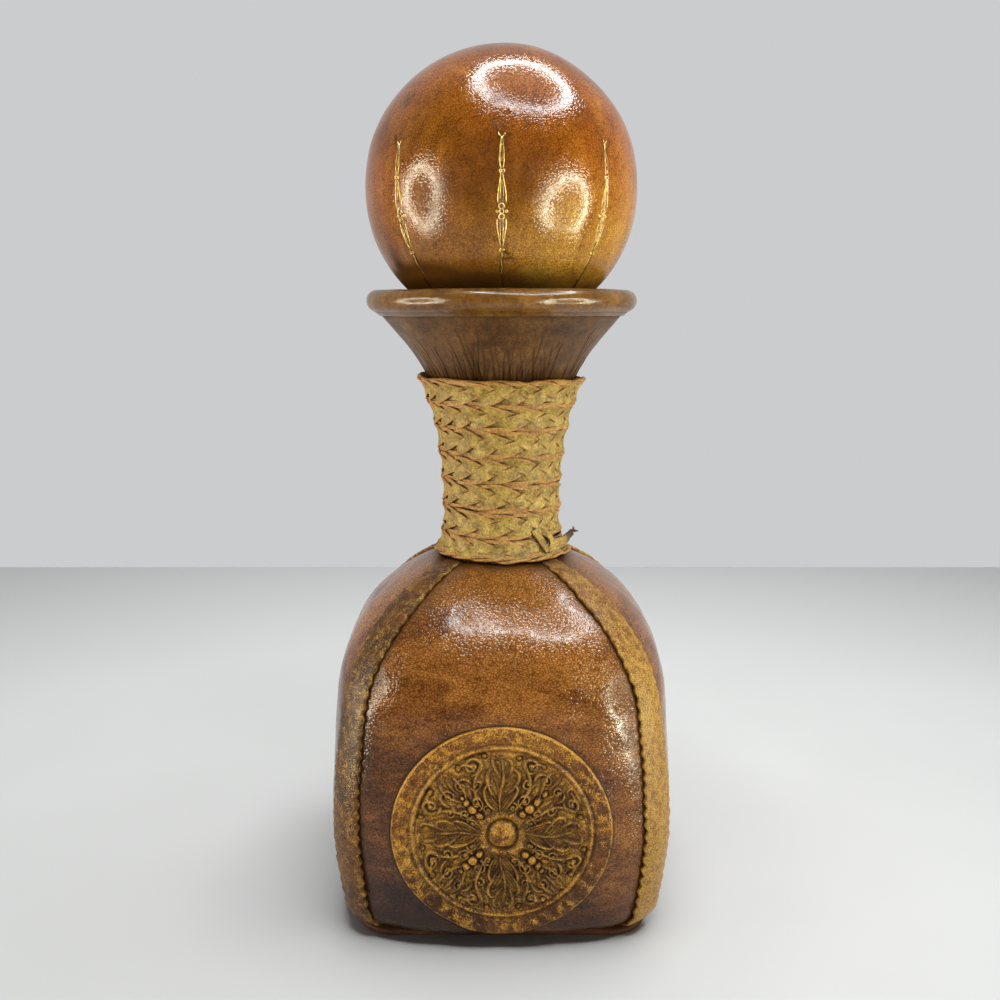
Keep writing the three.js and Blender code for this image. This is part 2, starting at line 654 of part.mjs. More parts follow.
addPiece('neck_braid', braidGeometry(), leather(0xa07a35, 0.8));
addPiece('stopper_core', coreGeometry(), new THREE.MeshStandardMaterial({
  color: 0xb98d55, roughness: 0.7, metalness: 0 }));
addPiece('stopper_cover', coverGeometry(), leather(0x7c4718, 0.35));
addPiece('cork_plug', corkGeometry(), new THREE.MeshStandardMaterial({
  color: 0xb8895a, roughness: 0.9, metalness: 0 }));

export default group;
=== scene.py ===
import math

import bpy
import numpy as np
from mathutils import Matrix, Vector


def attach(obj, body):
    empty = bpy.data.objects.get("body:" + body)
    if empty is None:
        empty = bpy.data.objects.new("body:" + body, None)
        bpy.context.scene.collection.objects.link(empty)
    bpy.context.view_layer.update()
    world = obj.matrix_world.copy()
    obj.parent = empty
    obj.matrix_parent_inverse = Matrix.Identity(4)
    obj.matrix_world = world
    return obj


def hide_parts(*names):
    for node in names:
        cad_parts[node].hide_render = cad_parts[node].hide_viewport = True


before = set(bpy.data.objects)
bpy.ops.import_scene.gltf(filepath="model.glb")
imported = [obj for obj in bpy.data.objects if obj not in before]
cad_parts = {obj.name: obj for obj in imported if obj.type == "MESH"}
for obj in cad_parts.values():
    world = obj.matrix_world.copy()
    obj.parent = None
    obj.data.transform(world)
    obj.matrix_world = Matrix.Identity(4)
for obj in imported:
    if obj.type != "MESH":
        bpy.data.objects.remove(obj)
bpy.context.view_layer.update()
scene = bpy.context.scene

MM = 0.001
DEG = math.pi / 180
TURN = 2 * math.pi
FRONT = -math.pi / 2

# Outside of the glass, as in the CAD source, in millimetres and degrees
BASE_HALF = 53.2
EDGE_RADIUS = 6.5
SIDE_HEIGHT = 65.5
SIDE_BULGE = 2
SPRING_HALF = 52.5
SHOULDER_HEIGHT = 38.8
SHOULDER_TOP_RADIUS = 20.2
SHOULDER_TOP_SLOPE = 26
NECK_RADIUS = 15.3
NECK_ROOT_HEIGHT = 16.2
FLARE_HEIGHT = 69.2
MOUTH_RADIUS = 41.2
MOUTH_SLOPE = 49.7

# Reach of its curves' handles, as shares of the heights that they span
SPRING_PULL = 0.5
TOP_PULL = 0.5
NECK_PULL = 0.64
MOUTH_PULL = 0.3

# Squareness of its plan, which is the power of a superellipse
BASE_SQUARE = 3.4
BODY_SQUARE = 5.6
SQUARING_RISE = 25
TOP_SQUARE = 2.2
CIRCLE = 2

# Walls of the glass, and the layers as heights over it
BASE_WALL = 6
BODY_WALL = 4.5
NECK_WALL = 3.6
LIP_WALL = 2.5
GLUE_GAP = 0.3
PANEL_OUTER = 1.8
STRIP_OUTER = 3.5
SLEEVE_OUTER = 1.5
BRAID_MIDDLE = 3.5

BASE_Z = 4.1
SIDE_Z = BASE_Z + EDGE_RADIUS
SPRING_Z = SIDE_Z + SIDE_HEIGHT
ROOT_Z = SPRING_Z + SHOULDER_HEIGHT
NECK_Z = ROOT_Z + NECK_ROOT_HEIGHT
MOUTH_Z = NECK_Z + FLARE_HEIGHT

CURVE_POINTS = 300


def lerp(a, b, t):
    return a + (b - a) * t


def clamp(x):
    return np.clip(x, 0, 1)


def share(s, a, b):
    return clamp((s - a) / (b - a))


def smooth(t):
    t = clamp(t)
    return t * t * (3 - 2 * t)


def unit(v):
    return v / np.linalg.norm(v, axis=-1, keepdims=True)


def bell(x, width):
    return np.exp(-((x / width) ** 2))


def around(count):
    return np.linspace(0, TURN, count, endpoint=False)


def stations(start, *stretches):
    """Column of values through stretches, each an end and a count of values."""
    values = [[start]]
    for end, count in stretches:
        values.append(np.linspace(start, end, count)[1:])
        start = end
    return np.concatenate(values)[:, None]


def run_along(points):
    return np.concatenate([[0], np.cumsum(np.linalg.norm(np.diff(points, axis=0), axis=1))])


def points_at(x, y=0, z=0):
    return np.stack(np.broadcast_arrays(x, y, z), -1)


def turned(r, angle, z):
    """Points at radii, angles and heights about the axis."""
    return points_at(r * np.cos(angle), r * np.sin(angle), z)


def outward(points):
    return unit(points * np.array([1, 1, 0]))


def polar(radius, degrees):
    return radius * math.cos(degrees * DEG), radius * math.sin(degrees * DEG)


def bezier(*corners):
    t = np.linspace(0, 1, CURVE_POINTS)[:, None]
    points = [np.array(c, float) for c in corners]
    while len(points) > 1:
        points = [lerp(a, b, t) for a, b in zip(points, points[1:])]
    return points[0]


def make_profile():
    """Profile at the middle of a face as arrays of run, half-width and height, and each curve's end run."""
    middle = np.array([(BASE_HALF + SPRING_HALF) / 2 + SIDE_BULGE, SIDE_Z + SIDE_HEIGHT / 2])
    spring = np.array([SPRING_HALF, SPRING_Z])
    lean = unit(spring - middle)
    top = np.array([SHOULDER_TOP_RADIUS, ROOT_Z])
    slope = -np.array(polar(1, -SHOULDER_TOP_SLOPE))
    root = top + slope * (SHOULDER_TOP_RADIUS - NECK_RADIUS) / -slope[0]
    neck = np.array([NECK_RADIUS, NECK_Z])
    mouth = np.array([MOUTH_RADIUS, MOUTH_Z])
    flare = np.array(polar(1, MOUTH_SLOPE))
    foot = BASE_HALF - EDGE_RADIUS
    turn = np.linspace(-90, 0, 120)[:, None] * DEG
    curves = [
        bezier((0, BASE_Z), (foot, BASE_Z)),
        np.array([foot, SIDE_Z]) + EDGE_RADIUS * np.hstack([np.cos(turn), np.sin(turn)]),
        bezier((BASE_HALF, SIDE_Z), middle, spring),
        bezier(spring, spring + lean * SPRING_PULL * SHOULDER_HEIGHT,
               top - slope * TOP_PULL * SHOULDER_HEIGHT, top),
        bezier(top, root, neck),
        bezier(neck, (NECK_RADIUS, lerp(NECK_Z, MOUTH_Z, NECK_PULL)),
               mouth - flare * MOUTH_PULL * FLARE_HEIGHT, mouth),
    ]
    points = np.concatenate([curves[0]] + [c[1:] for c in curves[1:]])
    run = run_along(points)
    ends = run[np.cumsum([len(curves[0])] + [len(c) - 1 for c in curves[1:]]) - 1]
    return run, points[:, 0], points[:, 1], ends


RUN, HALF, HEIGHT, ENDS = make_profile()
UNDER_END, EDGE_END, SIDE_END, SHOULDER_END, ROOT_END, LIP_END = ENDS


def squareness(s):
    body = lerp(BASE_SQUARE, BODY_SQUARE, share(s, UNDER_END, EDGE_END + SQUARING_RISE))
    shoulder = lerp(body, TOP_SQUARE, share(s, SIDE_END, SHOULDER_END))
    return lerp(shoulder, CIRCLE, share(s, SHOULDER_END, ROOT_END))


def radius_at(s, angle):
    n = squareness(s)
    total = np.abs(np.cos(angle)) ** n + np.abs(np.sin(angle)) ** n
    return np.interp(s, RUN, HALF) * total ** (-1 / n)


def glass(s, angle):
    """Points of the outside of the glass at runs along its profile and angles round its axis."""
    return turned(radius_at(s, angle), angle, np.interp(s, RUN, HEIGHT))


def normal_at(s, angle):
    """Outward normal of the glass and the direction up its profile."""
    step, turn = 0.3, 0.004
    up = unit(glass(np.minimum(s + step, LIP_END), angle) - glass(np.maximum(s - step, step), angle))
    round_ = unit(glass(s, angle + turn) - glass(s, angle - turn))
    normal = unit(np.cross(round_, up))
    return normal, unit(np.cross(normal, round_))


def skin(s, angle, offset):
    return glass(s, angle) + normal_at(s, angle)[0] * np.asarray(offset, float)[..., None]


def wall_at(s):
    side = lerp(BASE_WALL, BODY_WALL, share(s, UNDER_END, EDGE_END))
    neck = lerp(side, NECK_WALL, share(s, SIDE_END, ROOT_END))
    return lerp(neck, LIP_WALL, share(s, ROOT_END, LIP_END))


def waves(seed, size, count=16):
    """Smooth seeded unevenness of points, about -1 to 1, with lumps of about a size."""
    wavelength = 1.7 * size
    draw = np.random.default_rng(seed)
    wave = draw.normal(size=(count, 3)) * TURN / wavelength
    phase = draw.uniform(0, TURN, count)
    return lambda p: np.sin(p @ wave.T + phase).sum(-1) / math.sqrt(2 * count)


# Meshes
def grid_faces(rows, columns, start=0, closed=False):
    r = np.arange(rows - 1)[:, None] * columns + start
    c = np.arange(columns if closed else columns - 1)[None, :]
    after = (c + 1) % columns
    return np.stack([r + c, r + after, r + columns + after, r + columns + c], -1).reshape(-1, 4)


def sheet(top, under):
    """Closed sheet between two grids of points with the same outline."""
    rows, columns = top.shape[:2]
    count = rows * columns
    index = np.arange(count).reshape(rows, columns)
    loop = np.concatenate([index[0, :-1], index[:-1, -1], index[-1, :0:-1], index[:0:-1, 0]])
    after = np.roll(loop, -1)
    points = np.concatenate([top.reshape(-1, 3), under.reshape(-1, 3)])
    wall = np.stack([after, loop, loop + count, after + count], -1)
    return points, [grid_faces(rows, columns), grid_faces(rows, columns, count)[:, ::-1], wall]


def tube(rings, looped=False):
    """Closed skin through rings of equal length, capped at both ends or looped back on itself."""
    rows, columns = rings.shape[:2]
    points = rings.reshape(-1, 3)
    faces = [grid_faces(rows, columns, closed=True)]
    c = np.arange(columns)
    after = (c + 1) % columns
    last = (rows - 1) * columns
    if looped:
        faces.append(np.stack([last + c, last + after, after, c], -1))
    else:
        count = len(points)
        points = np.concatenate([points, rings[0].mean(0)[None], rings[-1].mean(0)[None]])
        faces.append(np.stack([after, c, np.full(columns, count)], -1))
        faces.append(np.stack([last + c, last + after, np.full(columns, count + 1)], -1))
    return points, faces


def merged(shapes):
    points, faces, start = [], [], 0
    for p, f in shapes:
        points.append(p)
        faces += [block + start for block in f]
        start += len(p)
    return np.concatenate(points), faces


def in_scene(name, data):
    obj = bpy.data.objects.new(name, data)
    scene.collection.objects.link(obj)
    return obj


def mesh_object(name, shape, material):
    points, faces = shape
    mesh = bpy.data.meshes.new(name)
    mesh.from_pydata((points * MM).tolist(), [], [f for block in faces for f in block.tolist()])
    mesh.shade_smooth()
    mesh.materials.append(material)
    return in_scene(name, mesh)


def piece(name, shape, material, slot, nodes=(), body="bottle", sharp=None, **fields):
    """Piece in place of CAD nodes, with fields of values at its points for its material."""
    obj = mesh_object(name, shape, material)
    for key, values in fields.items():
        values = np.asarray(values, np.float32).ravel()
        values = np.pad(values, (0, len(obj.data.vertices) - len(values)))
        obj.data.attributes.new(key, "FLOAT", "POINT").data.foreach_set("value", values)
    if sharp:
        obj.data.set_sharp_from_angle(angle=sharp * DEG)
    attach(obj, body)
    if nodes:
        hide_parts(*nodes)


# Materials
class Nodes:
    """Nodes of a material, a light or the world, and short names for them."""

    def __init__(self, owner):
        owner.use_nodes = True
        self.owner, self.tree = owner, owner.node_tree

    def set(self, node, inputs):
        """Sets inputs by name, where _ is a space, or by number, such as i0."""
        for key, value in inputs.items():
            socket = node.inputs[int(key[1:]) if key[1:].isdigit() else key.replace("_", " ")]
            if isinstance(value, bpy.types.NodeSocket):
                self.tree.links.new(value, socket)
            else:
                socket.default_value = value

    def add(self, kind, settings=None, **inputs):
        node = self.tree.nodes.new("ShaderNode" + kind)
        for key, value in (settings or {}).items():
            setattr(node, key, value)
        self.set(node, inputs)
        return node

    def math(self, operation, a, b):
        return self.add("Math", {"operation": operation}, i0=a, i1=b).outputs[0]

    def plus(self, a, b):
        return self.math("ADD", a, b)

    def times(self, a, b):
        return self.math("MULTIPLY", a, b)

    def vector(self, operation, out="Vector", **inputs):
        return self.add("VectorMath", {"operation": operation}, **inputs).outputs[out]

    def rise(self, value, low, high, to_low=0, to_high=1):
        return self.add("MapRange", {"interpolation_type": "SMOOTHSTEP"}, Value=value, From_Min=low,
                        From_Max=high, To_Min=to_low, To_Max=to_high).outputs[0]

    def mix(self, factor, a, b, blend="MIX"):
        a, b = [(*c, 1) if isinstance(c, tuple) else c for c in (a, b)]
        return self.add("Mix", {"data_type": "RGBA", "blend_type": blend}, i0=factor, i6=a, i7=b).outputs[2]

    def finish(self, end="Principled BSDF", **inputs):
        self.set(self.tree.nodes[end], inputs)
        return self.owner


class Shader(Nodes):
    """Nodes of a material, with places and sizes in millimetres."""

    def __init__(self, name):
        super().__init__(bpy.data.materials.new(name))
        self.place = self.vector("SCALE", Vector=self.add("TexCoord").outputs["Object"], Scale=1 / MM)

    def noise(self, size, detail=3, roughness=0.55, place=None, distortion=0):
        return self.add("TexNoise", Vector=place or self.place, Scale=1 / size, Detail=detail,
                        Roughness=roughness, Distortion=distortion).outputs["Fac"]

    def ramp(self, value, *stops):
        node = self.add("ValToRGB", Fac=value)
        elements = node.color_ramp.elements
        while len(elements) < len(stops):
            elements.new(0.5)
        for element, (position, color) in zip(elements, stops):
            element.position = position
            element.color = (*color, 1)
        return node.outputs["Color"]

    def field(self, name):
        return self.add("Attribute", {"attribute_name": name}).outputs["Fac"]

    def openness(self, reach):
        return self.add("AmbientOcclusion", {"samples": 6}, Distance=reach * MM).outputs["AO"]

    def warped(self, size, amount):
        node = self.add("TexNoise", Vector=self.place, Scale=1 / size, Detail=2)
        return self.vector("MULTIPLY_ADD", i0=node.outputs["Color"], i1=(amount,) * 3, i2=self.place)

    def pebbles(self, size):
        """Rounded pebbles of leather for the bump, and the creases between them, 1 at their middle."""
        flattening = (1, 1, 1.45)
        place = self.vector("MULTIPLY", i0=self.warped(2.2 * size, 1.2 * size), i1=flattening)
        dome = self.add("TexVoronoi", {"feature": "SMOOTH_F1"}, Vector=place, Scale=1 / size, Smoothness=0.3)
        line = self.add("TexVoronoi", {"feature": "DISTANCE_TO_EDGE"}, Vector=place, Scale=1 / size)
        return self.rise(dome.outputs["Distance"], 0.62, 0.2), self.rise(line.outputs["Distance"], 0.2, 0)

    def bump(self, height, depth, normal=None):
        node = self.add("Bump", Height=height, Distance=depth * MM)
        if normal:
            self.set(node, {"Normal": normal})
        return node.outputs["Normal"]


# Dark colour of real dirt and of painted shade in seams, hollows and under things
DIRT_AND_SHADE_COLOR = (0.03, 0.0125, 0.0035)
CREASE_SHADE = (0.28, 0.2, 0.13)


def leather(name, tones, grain, crease, depth, roughness, gloss, stops=(0.25, 0.42, 0.58, 0.75),
            cloud=(34, 8), comb=(0.4, 0.4, 1), lean=None, tint=None, gild=None, hollow_shade=None):
    """Waxed leather: clouded tones, pebbles with dark creases, rubbed-on gold, and dirt and painted shade in
    seams.

    Cloud is the sizes of two noises that pick the tone, and comb draws the finer one out. Lean lightens it
    along an axis, as painted light on the side the lamps fall on, and tint is mixed by the field warm. Gild
    is a gold, the sizes of its specks and patches, and two levels. The hollow reach paints shade into
    hollows.
    """
    sh = Shader(name)
    combed = sh.vector("MULTIPLY", i0=sh.place, i1=comb)
    value = sh.plus(sh.times(sh.noise(cloud[0], 4, 0.6), 0.5),
                    sh.times(sh.noise(cloud[1], 5, 0.62, combed, 0.8), 0.5))
    if lean:
        axis, low, high, amount = lean
        along = sh.vector("DOT_PRODUCT", "Value", i0=sh.place, i1=axis)
        value = sh.plus(value, sh.rise(along, low, high, -amount, amount))
    fleck = sh.math("SUBTRACT", sh.noise(1.3, 2), 0.5)
    color = sh.ramp(sh.plus(value, sh.times(fleck, 0.16)), *zip(stops, tones))
    if tint:
        color = sh.mix(1, color, sh.mix(sh.field("warm"), *tint), "MULTIPLY")
    pebble, line = sh.pebbles(grain)
    if gild:
        gold, speck_size, patch_size, low, high = gild
        speck = sh.rise(sh.noise(speck_size, 2, 0.6), 0.3, 0.7, 0, 0.4)
        patch = sh.rise(sh.noise(patch_size, 3, 0.6), 0.3, 0.7, 0, 0.4)
        rub = sh.plus(sh.plus(speck, patch), sh.times(sh.field("edge"), 0.3))
        color = sh.mix(sh.rise(rub, low, high), color, gold)
    color = sh.mix(sh.times(line, crease), color, sh.mix(1, color, CREASE_SHADE, "MULTIPLY"))
    # This field holds real dirt and painted shade in seams, creases, hollows and under things
    grime = sh.field("grime")
    color = sh.mix(sh.times(grime, 0.9), color, DIRT_AND_SHADE_COLOR)
    # Painted shade in hollows, darker where ambient occlusion finds the surface closed in
    if hollow_shade:
        color = sh.mix(sh.rise(sh.openness(hollow_shade), 0.5, 0.95), DIRT_AND_SHADE_COLOR, color)
    rough = sh.rise(sh.noise(5, 4, 0.6), 0.3, 0.75, roughness - 0.05, roughness + 0.08)
    rough = sh.plus(rough, sh.times(grime, 0.3))
    normal = sh.bump(pebble, depth, sh.bump(sh.noise(6.5, 2), 2 * depth))
    dull = sh.math("MAXIMUM", sh.times(line, 0.45), sh.times(grime, 0.9))
    shine = sh.rise(dull, 0, 1, gloss, 0)
    return sh.finish(Base_Color=color, Roughness=rough, Normal=normal, Specular_IOR_Level=shine)


# Its lean makes it lighter towards the upper right and darker at the lower left: painted light and shade
panel_leather = leather(
    "panel_leather",
    [(0.0166, 0.00552, 0.0023), (0.0506, 0.0166, 0.00414),
     (0.115, 0.0396, 0.00828), (0.239, 0.0975, 0.0212)],
    stops=(0.3, 0.43, 0.53, 0.68), grain=1, crease=0.85, depth=0.041, roughness=0.15, gloss=0.5,
    lean=((0.75, 0, 1), -25, 98, 0.15))
# Its lean makes it lighter towards the right, painted light
strip_leather = leather(
    "strip_leather",
    [(0.0198, 0.0072, 0.0027), (0.0612, 0.0225, 0.0054), (0.153, 0.054, 0.0117), (0.243, 0.108, 0.027)],
    grain=0.75, crease=0.75, depth=0.05, roughness=0.38, gloss=0.28, lean=((1, 0, 0), -60, 60, 0.12),
    gild=((0.37, 0.22, 0.044), 0.5, 2.2, 0.22, 0.86))
# Its lean makes it lighter towards the top, painted light, and its hollow reach paints shade into the relief
medallion_leather = leather(
    "medallion_leather",
    [(0.022, 0.008, 0.0025), (0.075, 0.026, 0.006), (0.16, 0.058, 0.0095), (0.24, 0.1, 0.017)],
    grain=0.6, crease=0.9, depth=0.06, roughness=0.32, gloss=0.3, lean=((0, 0, 1), 5, 75, 0.08),
    gild=((0.46, 0.24, 0.032), 0.5, 3, 0.3, 0.7), hollow_shade=1.6)
neck_leather = leather(
    "neck_leather",
    [(0.018, 0.009, 0.004), (0.054, 0.026, 0.009), (0.106, 0.051, 0.017), (0.178, 0.095, 0.03)],
    grain=0.6, crease=0.55, depth=0.016, roughness=0.34, gloss=0.24, cloud=(14, 2.6), comb=(1, 1, 0.6))
rim_leather = leather(
    "rim_leather",
    [(0.03, 0.013, 0.004), (0.082, 0.035, 0.008), (0.145, 0.068, 0.014), (0.24, 0.12, 0.027)],
    grain=0.6, crease=0.5, depth=0.014, roughness=0.18, gloss=0.5, cloud=(12, 3.2), comb=(1, 1, 1))
# Its lean makes it a little lighter towards the right, painted light
ball_leather = leather(
    "ball_leather",
    [(0.0648, 0.0207, 0.00216), (0.13, 0.0432, 0.00389), (0.194, 0.07, 0.00734), (0.311, 0.143, 0.019)],
    stops=(0.3, 0.43, 0.53, 0.7), grain=0.85, crease=0.75, depth=0.021, roughness=0.09, gloss=0.5,
    cloud=(40, 12), comb=(1, 1, 0.5), lean=((1, 0, 0), -40, 40, 0.04),
    tint=((1.12, 0.94, 0.8), (1.6, 2.15, 2)))
# Kept dark, partly painted shade for the shadowed band of the sole under the body
sole_leather = leather(
    "sole_leather",
    [(0.014, 0.005, 0.003), (0.035, 0.012, 0.006), (0.08, 0.027, 0.012)],
    stops=(0.25, 0.45, 0.65), grain=0.7, crease=0.3, depth=0.05, roughness=0.6, gloss=0.2)


def lace_material():
    sh = Shader("braid_lace")
    speckle = sh.noise(0.7, 4, 0.75)
    value = sh.plus(sh.times(speckle, 0.5), sh.times(sh.noise(3.2, 4, 0.65), 0.5))
    face = sh.ramp(value, (0.36, (0.054, 0.031, 0.0055)), (0.45, (0.152, 0.097, 0.0165)),
                   (0.54, (0.26, 0.177, 0.034)), (0.68, (0.42, 0.322, 0.097)))
    cut = sh.ramp(speckle, (0.36, (0.14, 0.06, 0.012)), (0.6, (0.38, 0.19, 0.048)))
    color = sh.mix(sh.field("edge"), face, cut)
    # Painted shade in the crevices between the laces, from ambient occlusion
    color = sh.mix(sh.rise(sh.openness(1.6), 0.25, 0.85), (0.028, 0.014, 0.004), color)
    color = sh.mix(sh.field("tip"), color, (0.03, 0.015, 0.008))
    rough = sh.rise(speckle, 0.35, 0.65, 0.7, 0.42)
    normal = sh.bump(sh.noise(0.5, 4, 0.7), 0.14)
    return sh.finish(Base_Color=color, Roughness=rough, Normal=normal, Specular_IOR_Level=0.4)


def gold_material():
    sh = Shader("tooling_gold")
    rub = sh.noise(1.1, 4, 0.65)
    color = sh.ramp(rub, (0.32, (0.16, 0.08, 0.018)), (0.44, (0.52, 0.34, 0.085)), (0.65, (0.78, 0.6, 0.24)))
    rough = sh.rise(sh.noise(0.6, 3), 0.3, 0.7, 0.28, 0.5)
    normal = sh.bump(sh.noise(0.4, 3), 0.06)
    return sh.finish(Base_Color=color, Metallic=sh.rise(rub, 0.35, 0.5), Roughness=rough, Normal=normal)


def cork_material():
    sh = Shader("cork")
    grit = sh.noise(2.4, 5, 0.7)
    pores = sh.add("TexVoronoi", Vector=sh.warped(3, 2), Scale=0.3).outputs["Distance"]
    pit = sh.rise(pores, 0.12, 0.3)
    color = sh.ramp(grit, (0.3, (0.2, 0.1, 0.045)), (0.5, (0.42, 0.25, 0.12)), (0.7, (0.56, 0.37, 0.2)))
    color = sh.mix(pit, (0.13, 0.06, 0.026), color)
    rough = sh.rise(grit, 0.3, 0.7, 0.95, 0.75)
    return sh.finish(Base_Color=color, Roughness=rough, Normal=sh.bump(sh.times(pit, grit), 0.4))


def wood_material():
    sh = Shader("turned_wood")
    rings = sh.add("TexWave", {"wave_type": "RINGS", "rings_direction": "Y"}, Vector=sh.warped(20, 3),
                   Scale=0.09, Distortion=1.5, Detail=2).outputs["Fac"]
    color = sh.ramp(rings, (0.1, (0.3, 0.17, 0.08)), (0.9, (0.52, 0.34, 0.18)))
    rough = sh.rise(rings, 0, 1, 0.5, 0.65)
    return sh.finish(Base_Color=color, Roughness=rough, Normal=sh.bump(rings, 0.05))


def glass_material():
    sh = Shader("bottle_glass")
    tint = sh.ramp(sh.noise(30, 2), (0.3, (0.5, 0.62, 0.5)), (0.7, (0.62, 0.74, 0.6)))
    rough = sh.rise(sh.noise(12, 3), 0.3, 0.7, 0.02, 0.09)
    return sh.finish(Base_Color=tint, Roughness=rough, Transmission_Weight=1, IOR=1.5)


braid_lace = lace_material()

# Skins of the body: their ends along the run, and the seams, strips and medallion on them
SKIN_TUCK = 14
SKIN_GAP = 0.15
SKIN_START = UNDER_END - SKIN_TUCK
SKIN_TOP = SHOULDER_END - SKIN_GAP
HALF_FACE = 45 * DEG
SEAM_HALF = 0.4
COLUMN_CROWDING = 0.62
STRIP_HALF = 5.5
STRIP_TAPER = 0.66
TAPER_START = SKIN_TOP - 26
TAPER_END = SKIN_TOP - 3
DISC_RADIUS = 33.75
DISC_OVERHANG = 3.75
DISC_RUN = EDGE_END - DISC_OVERHANG + DISC_RADIUS

# Rounding of the shoulder's corners: depth, run of the middle, and reach along and across a corner
EASE_DEPTH = 3
EASE_RUN = SIDE_END + 6
EASE_ALONG = 26
EASE_ACROSS = 17


def face_angle(even, s):
    """Angles across a face from even values of -1 to 1, crowded towards its corners."""
    crowded = lerp(even, np.sin(even * math.pi / 2), COLUMN_CROWDING)
    return lerp(crowded, even, share(s, SIDE_END, ROOT_END)) * HALF_FACE


def lateral_turn(s, distance):
    return np.arcsin(distance / radius_at(s, HALF_FACE))


def strip_half(s):
    return STRIP_HALF * lerp(1, STRIP_TAPER, smooth(share(s, TAPER_START, TAPER_END)))


def from_corner(s, angle):
    """Distance aside of the nearest corner of the plan."""
    return radius_at(s, HALF_FACE) * np.sin(np.abs(np.mod(angle, 2 * HALF_FACE) - HALF_FACE))


def eased(s, aside):
    """How far the leather and the glass are drawn in over the corners of the shoulder."""
    return EASE_DEPTH * bell(s - EASE_RUN, EASE_ALONG) * bell(aside, EASE_ACROSS)


# Glass bottle
def make_bottle():
    angle = around(96)[None, :]
    s = stations(UNDER_END * 0.1, (UNDER_END, 5), (EDGE_END, 8), (LIP_END, 70))
    sunk = eased(s, from_corner(s, angle))
    outer = skin(s, angle, -sunk)
    inner = skin(s, angle, -wall_at(s) - sunk)[::-1]
    turn = np.linspace(0, math.pi, 7)[1:-1, None, None]
    normal, up = normal_at(LIP_END, angle)
    lip = glass(LIP_END, angle) - normal * (LIP_WALL / 2 * (1 - np.cos(turn)))
    lip = lip + up * (LIP_WALL / 2 * np.sin(turn))
    shape = tube(np.concatenate([outer, lip, inner]))
    piece("bottle", shape, glass_material(), "glass", ["glass_bottle"])


# Leather panels
def make_panel(name, facing):
    s = stations(SKIN_START, (UNDER_END, 8), (EDGE_END, 16), (SKIN_TOP, 140))
    room = 1 - lateral_turn(s, SEAM_HALF) / HALF_FACE
    turn = face_angle(np.linspace(-1, 1, 111)[None, :], s) * room
    angle = facing * DEG + turn
    flat = glass(s, angle)
    aside = from_corner(s, angle)
    drawn_in = eased(s, aside)
    dents = 0.24 * waves(3, 24)(flat) + 0.07 * waves(4, 8)(flat)
    turned_edge = 0.2 * bell(aside - SEAM_HALF, 0.8)
    top = skin(s, angle, PANEL_OUTER + dents - turned_edge - drawn_in)
    under = skin(s, angle, GLUE_GAP - drawn_in)
    # Dirt and painted shade: a dark line beside the strips and a broad band near the corners, painted shade
    # under the braid, darker towards the foot partly as painted shade, and painted shadow round the medallion
    beside_strip = bell(np.maximum(aside - strip_half(s) + 0.3, 0), 0.5)
    grime = 0.8 * beside_strip + 0.3 * bell(aside - 5, 4)
    below_braid, foot = bell(SKIN_TOP - s, 4), bell(s - UNDER_END, 13)
    grime += 0.8 * below_braid + 0.4 * foot
    if name == "front_panel":
        across = radius_at(s, angle) * np.sin(turn)
        away = np.hypot(across, s - DISC_RUN) - DISC_RADIUS
        grime += 0.8 * bell(np.maximum(away, 0), 0.6)
    piece(name + "_skin", sheet(top, under), panel_leather, "panel_leather", [name],
          grime=clamp(grime))


# Corner strips with pinked edges
STRIP_FOOT_TURN = 33 * DEG
STRIP_START = UNDER_END + STRIP_FOOT_TURN * EDGE_RADIUS
TOOTH_PITCH = 3.8
TOOTH_DEPTH = 1.1
TOOTH_SHARPNESS = 0.6
TOOTH_ROWS = 9
STRIP_TEETH = round((SKIN_TOP - STRIP_START) / TOOTH_PITCH)
STRIP_SLACK = 0.18
STRIP_CROWN = 0.16
STRIP_END = 2
STRIP_PRESSED = 0.9


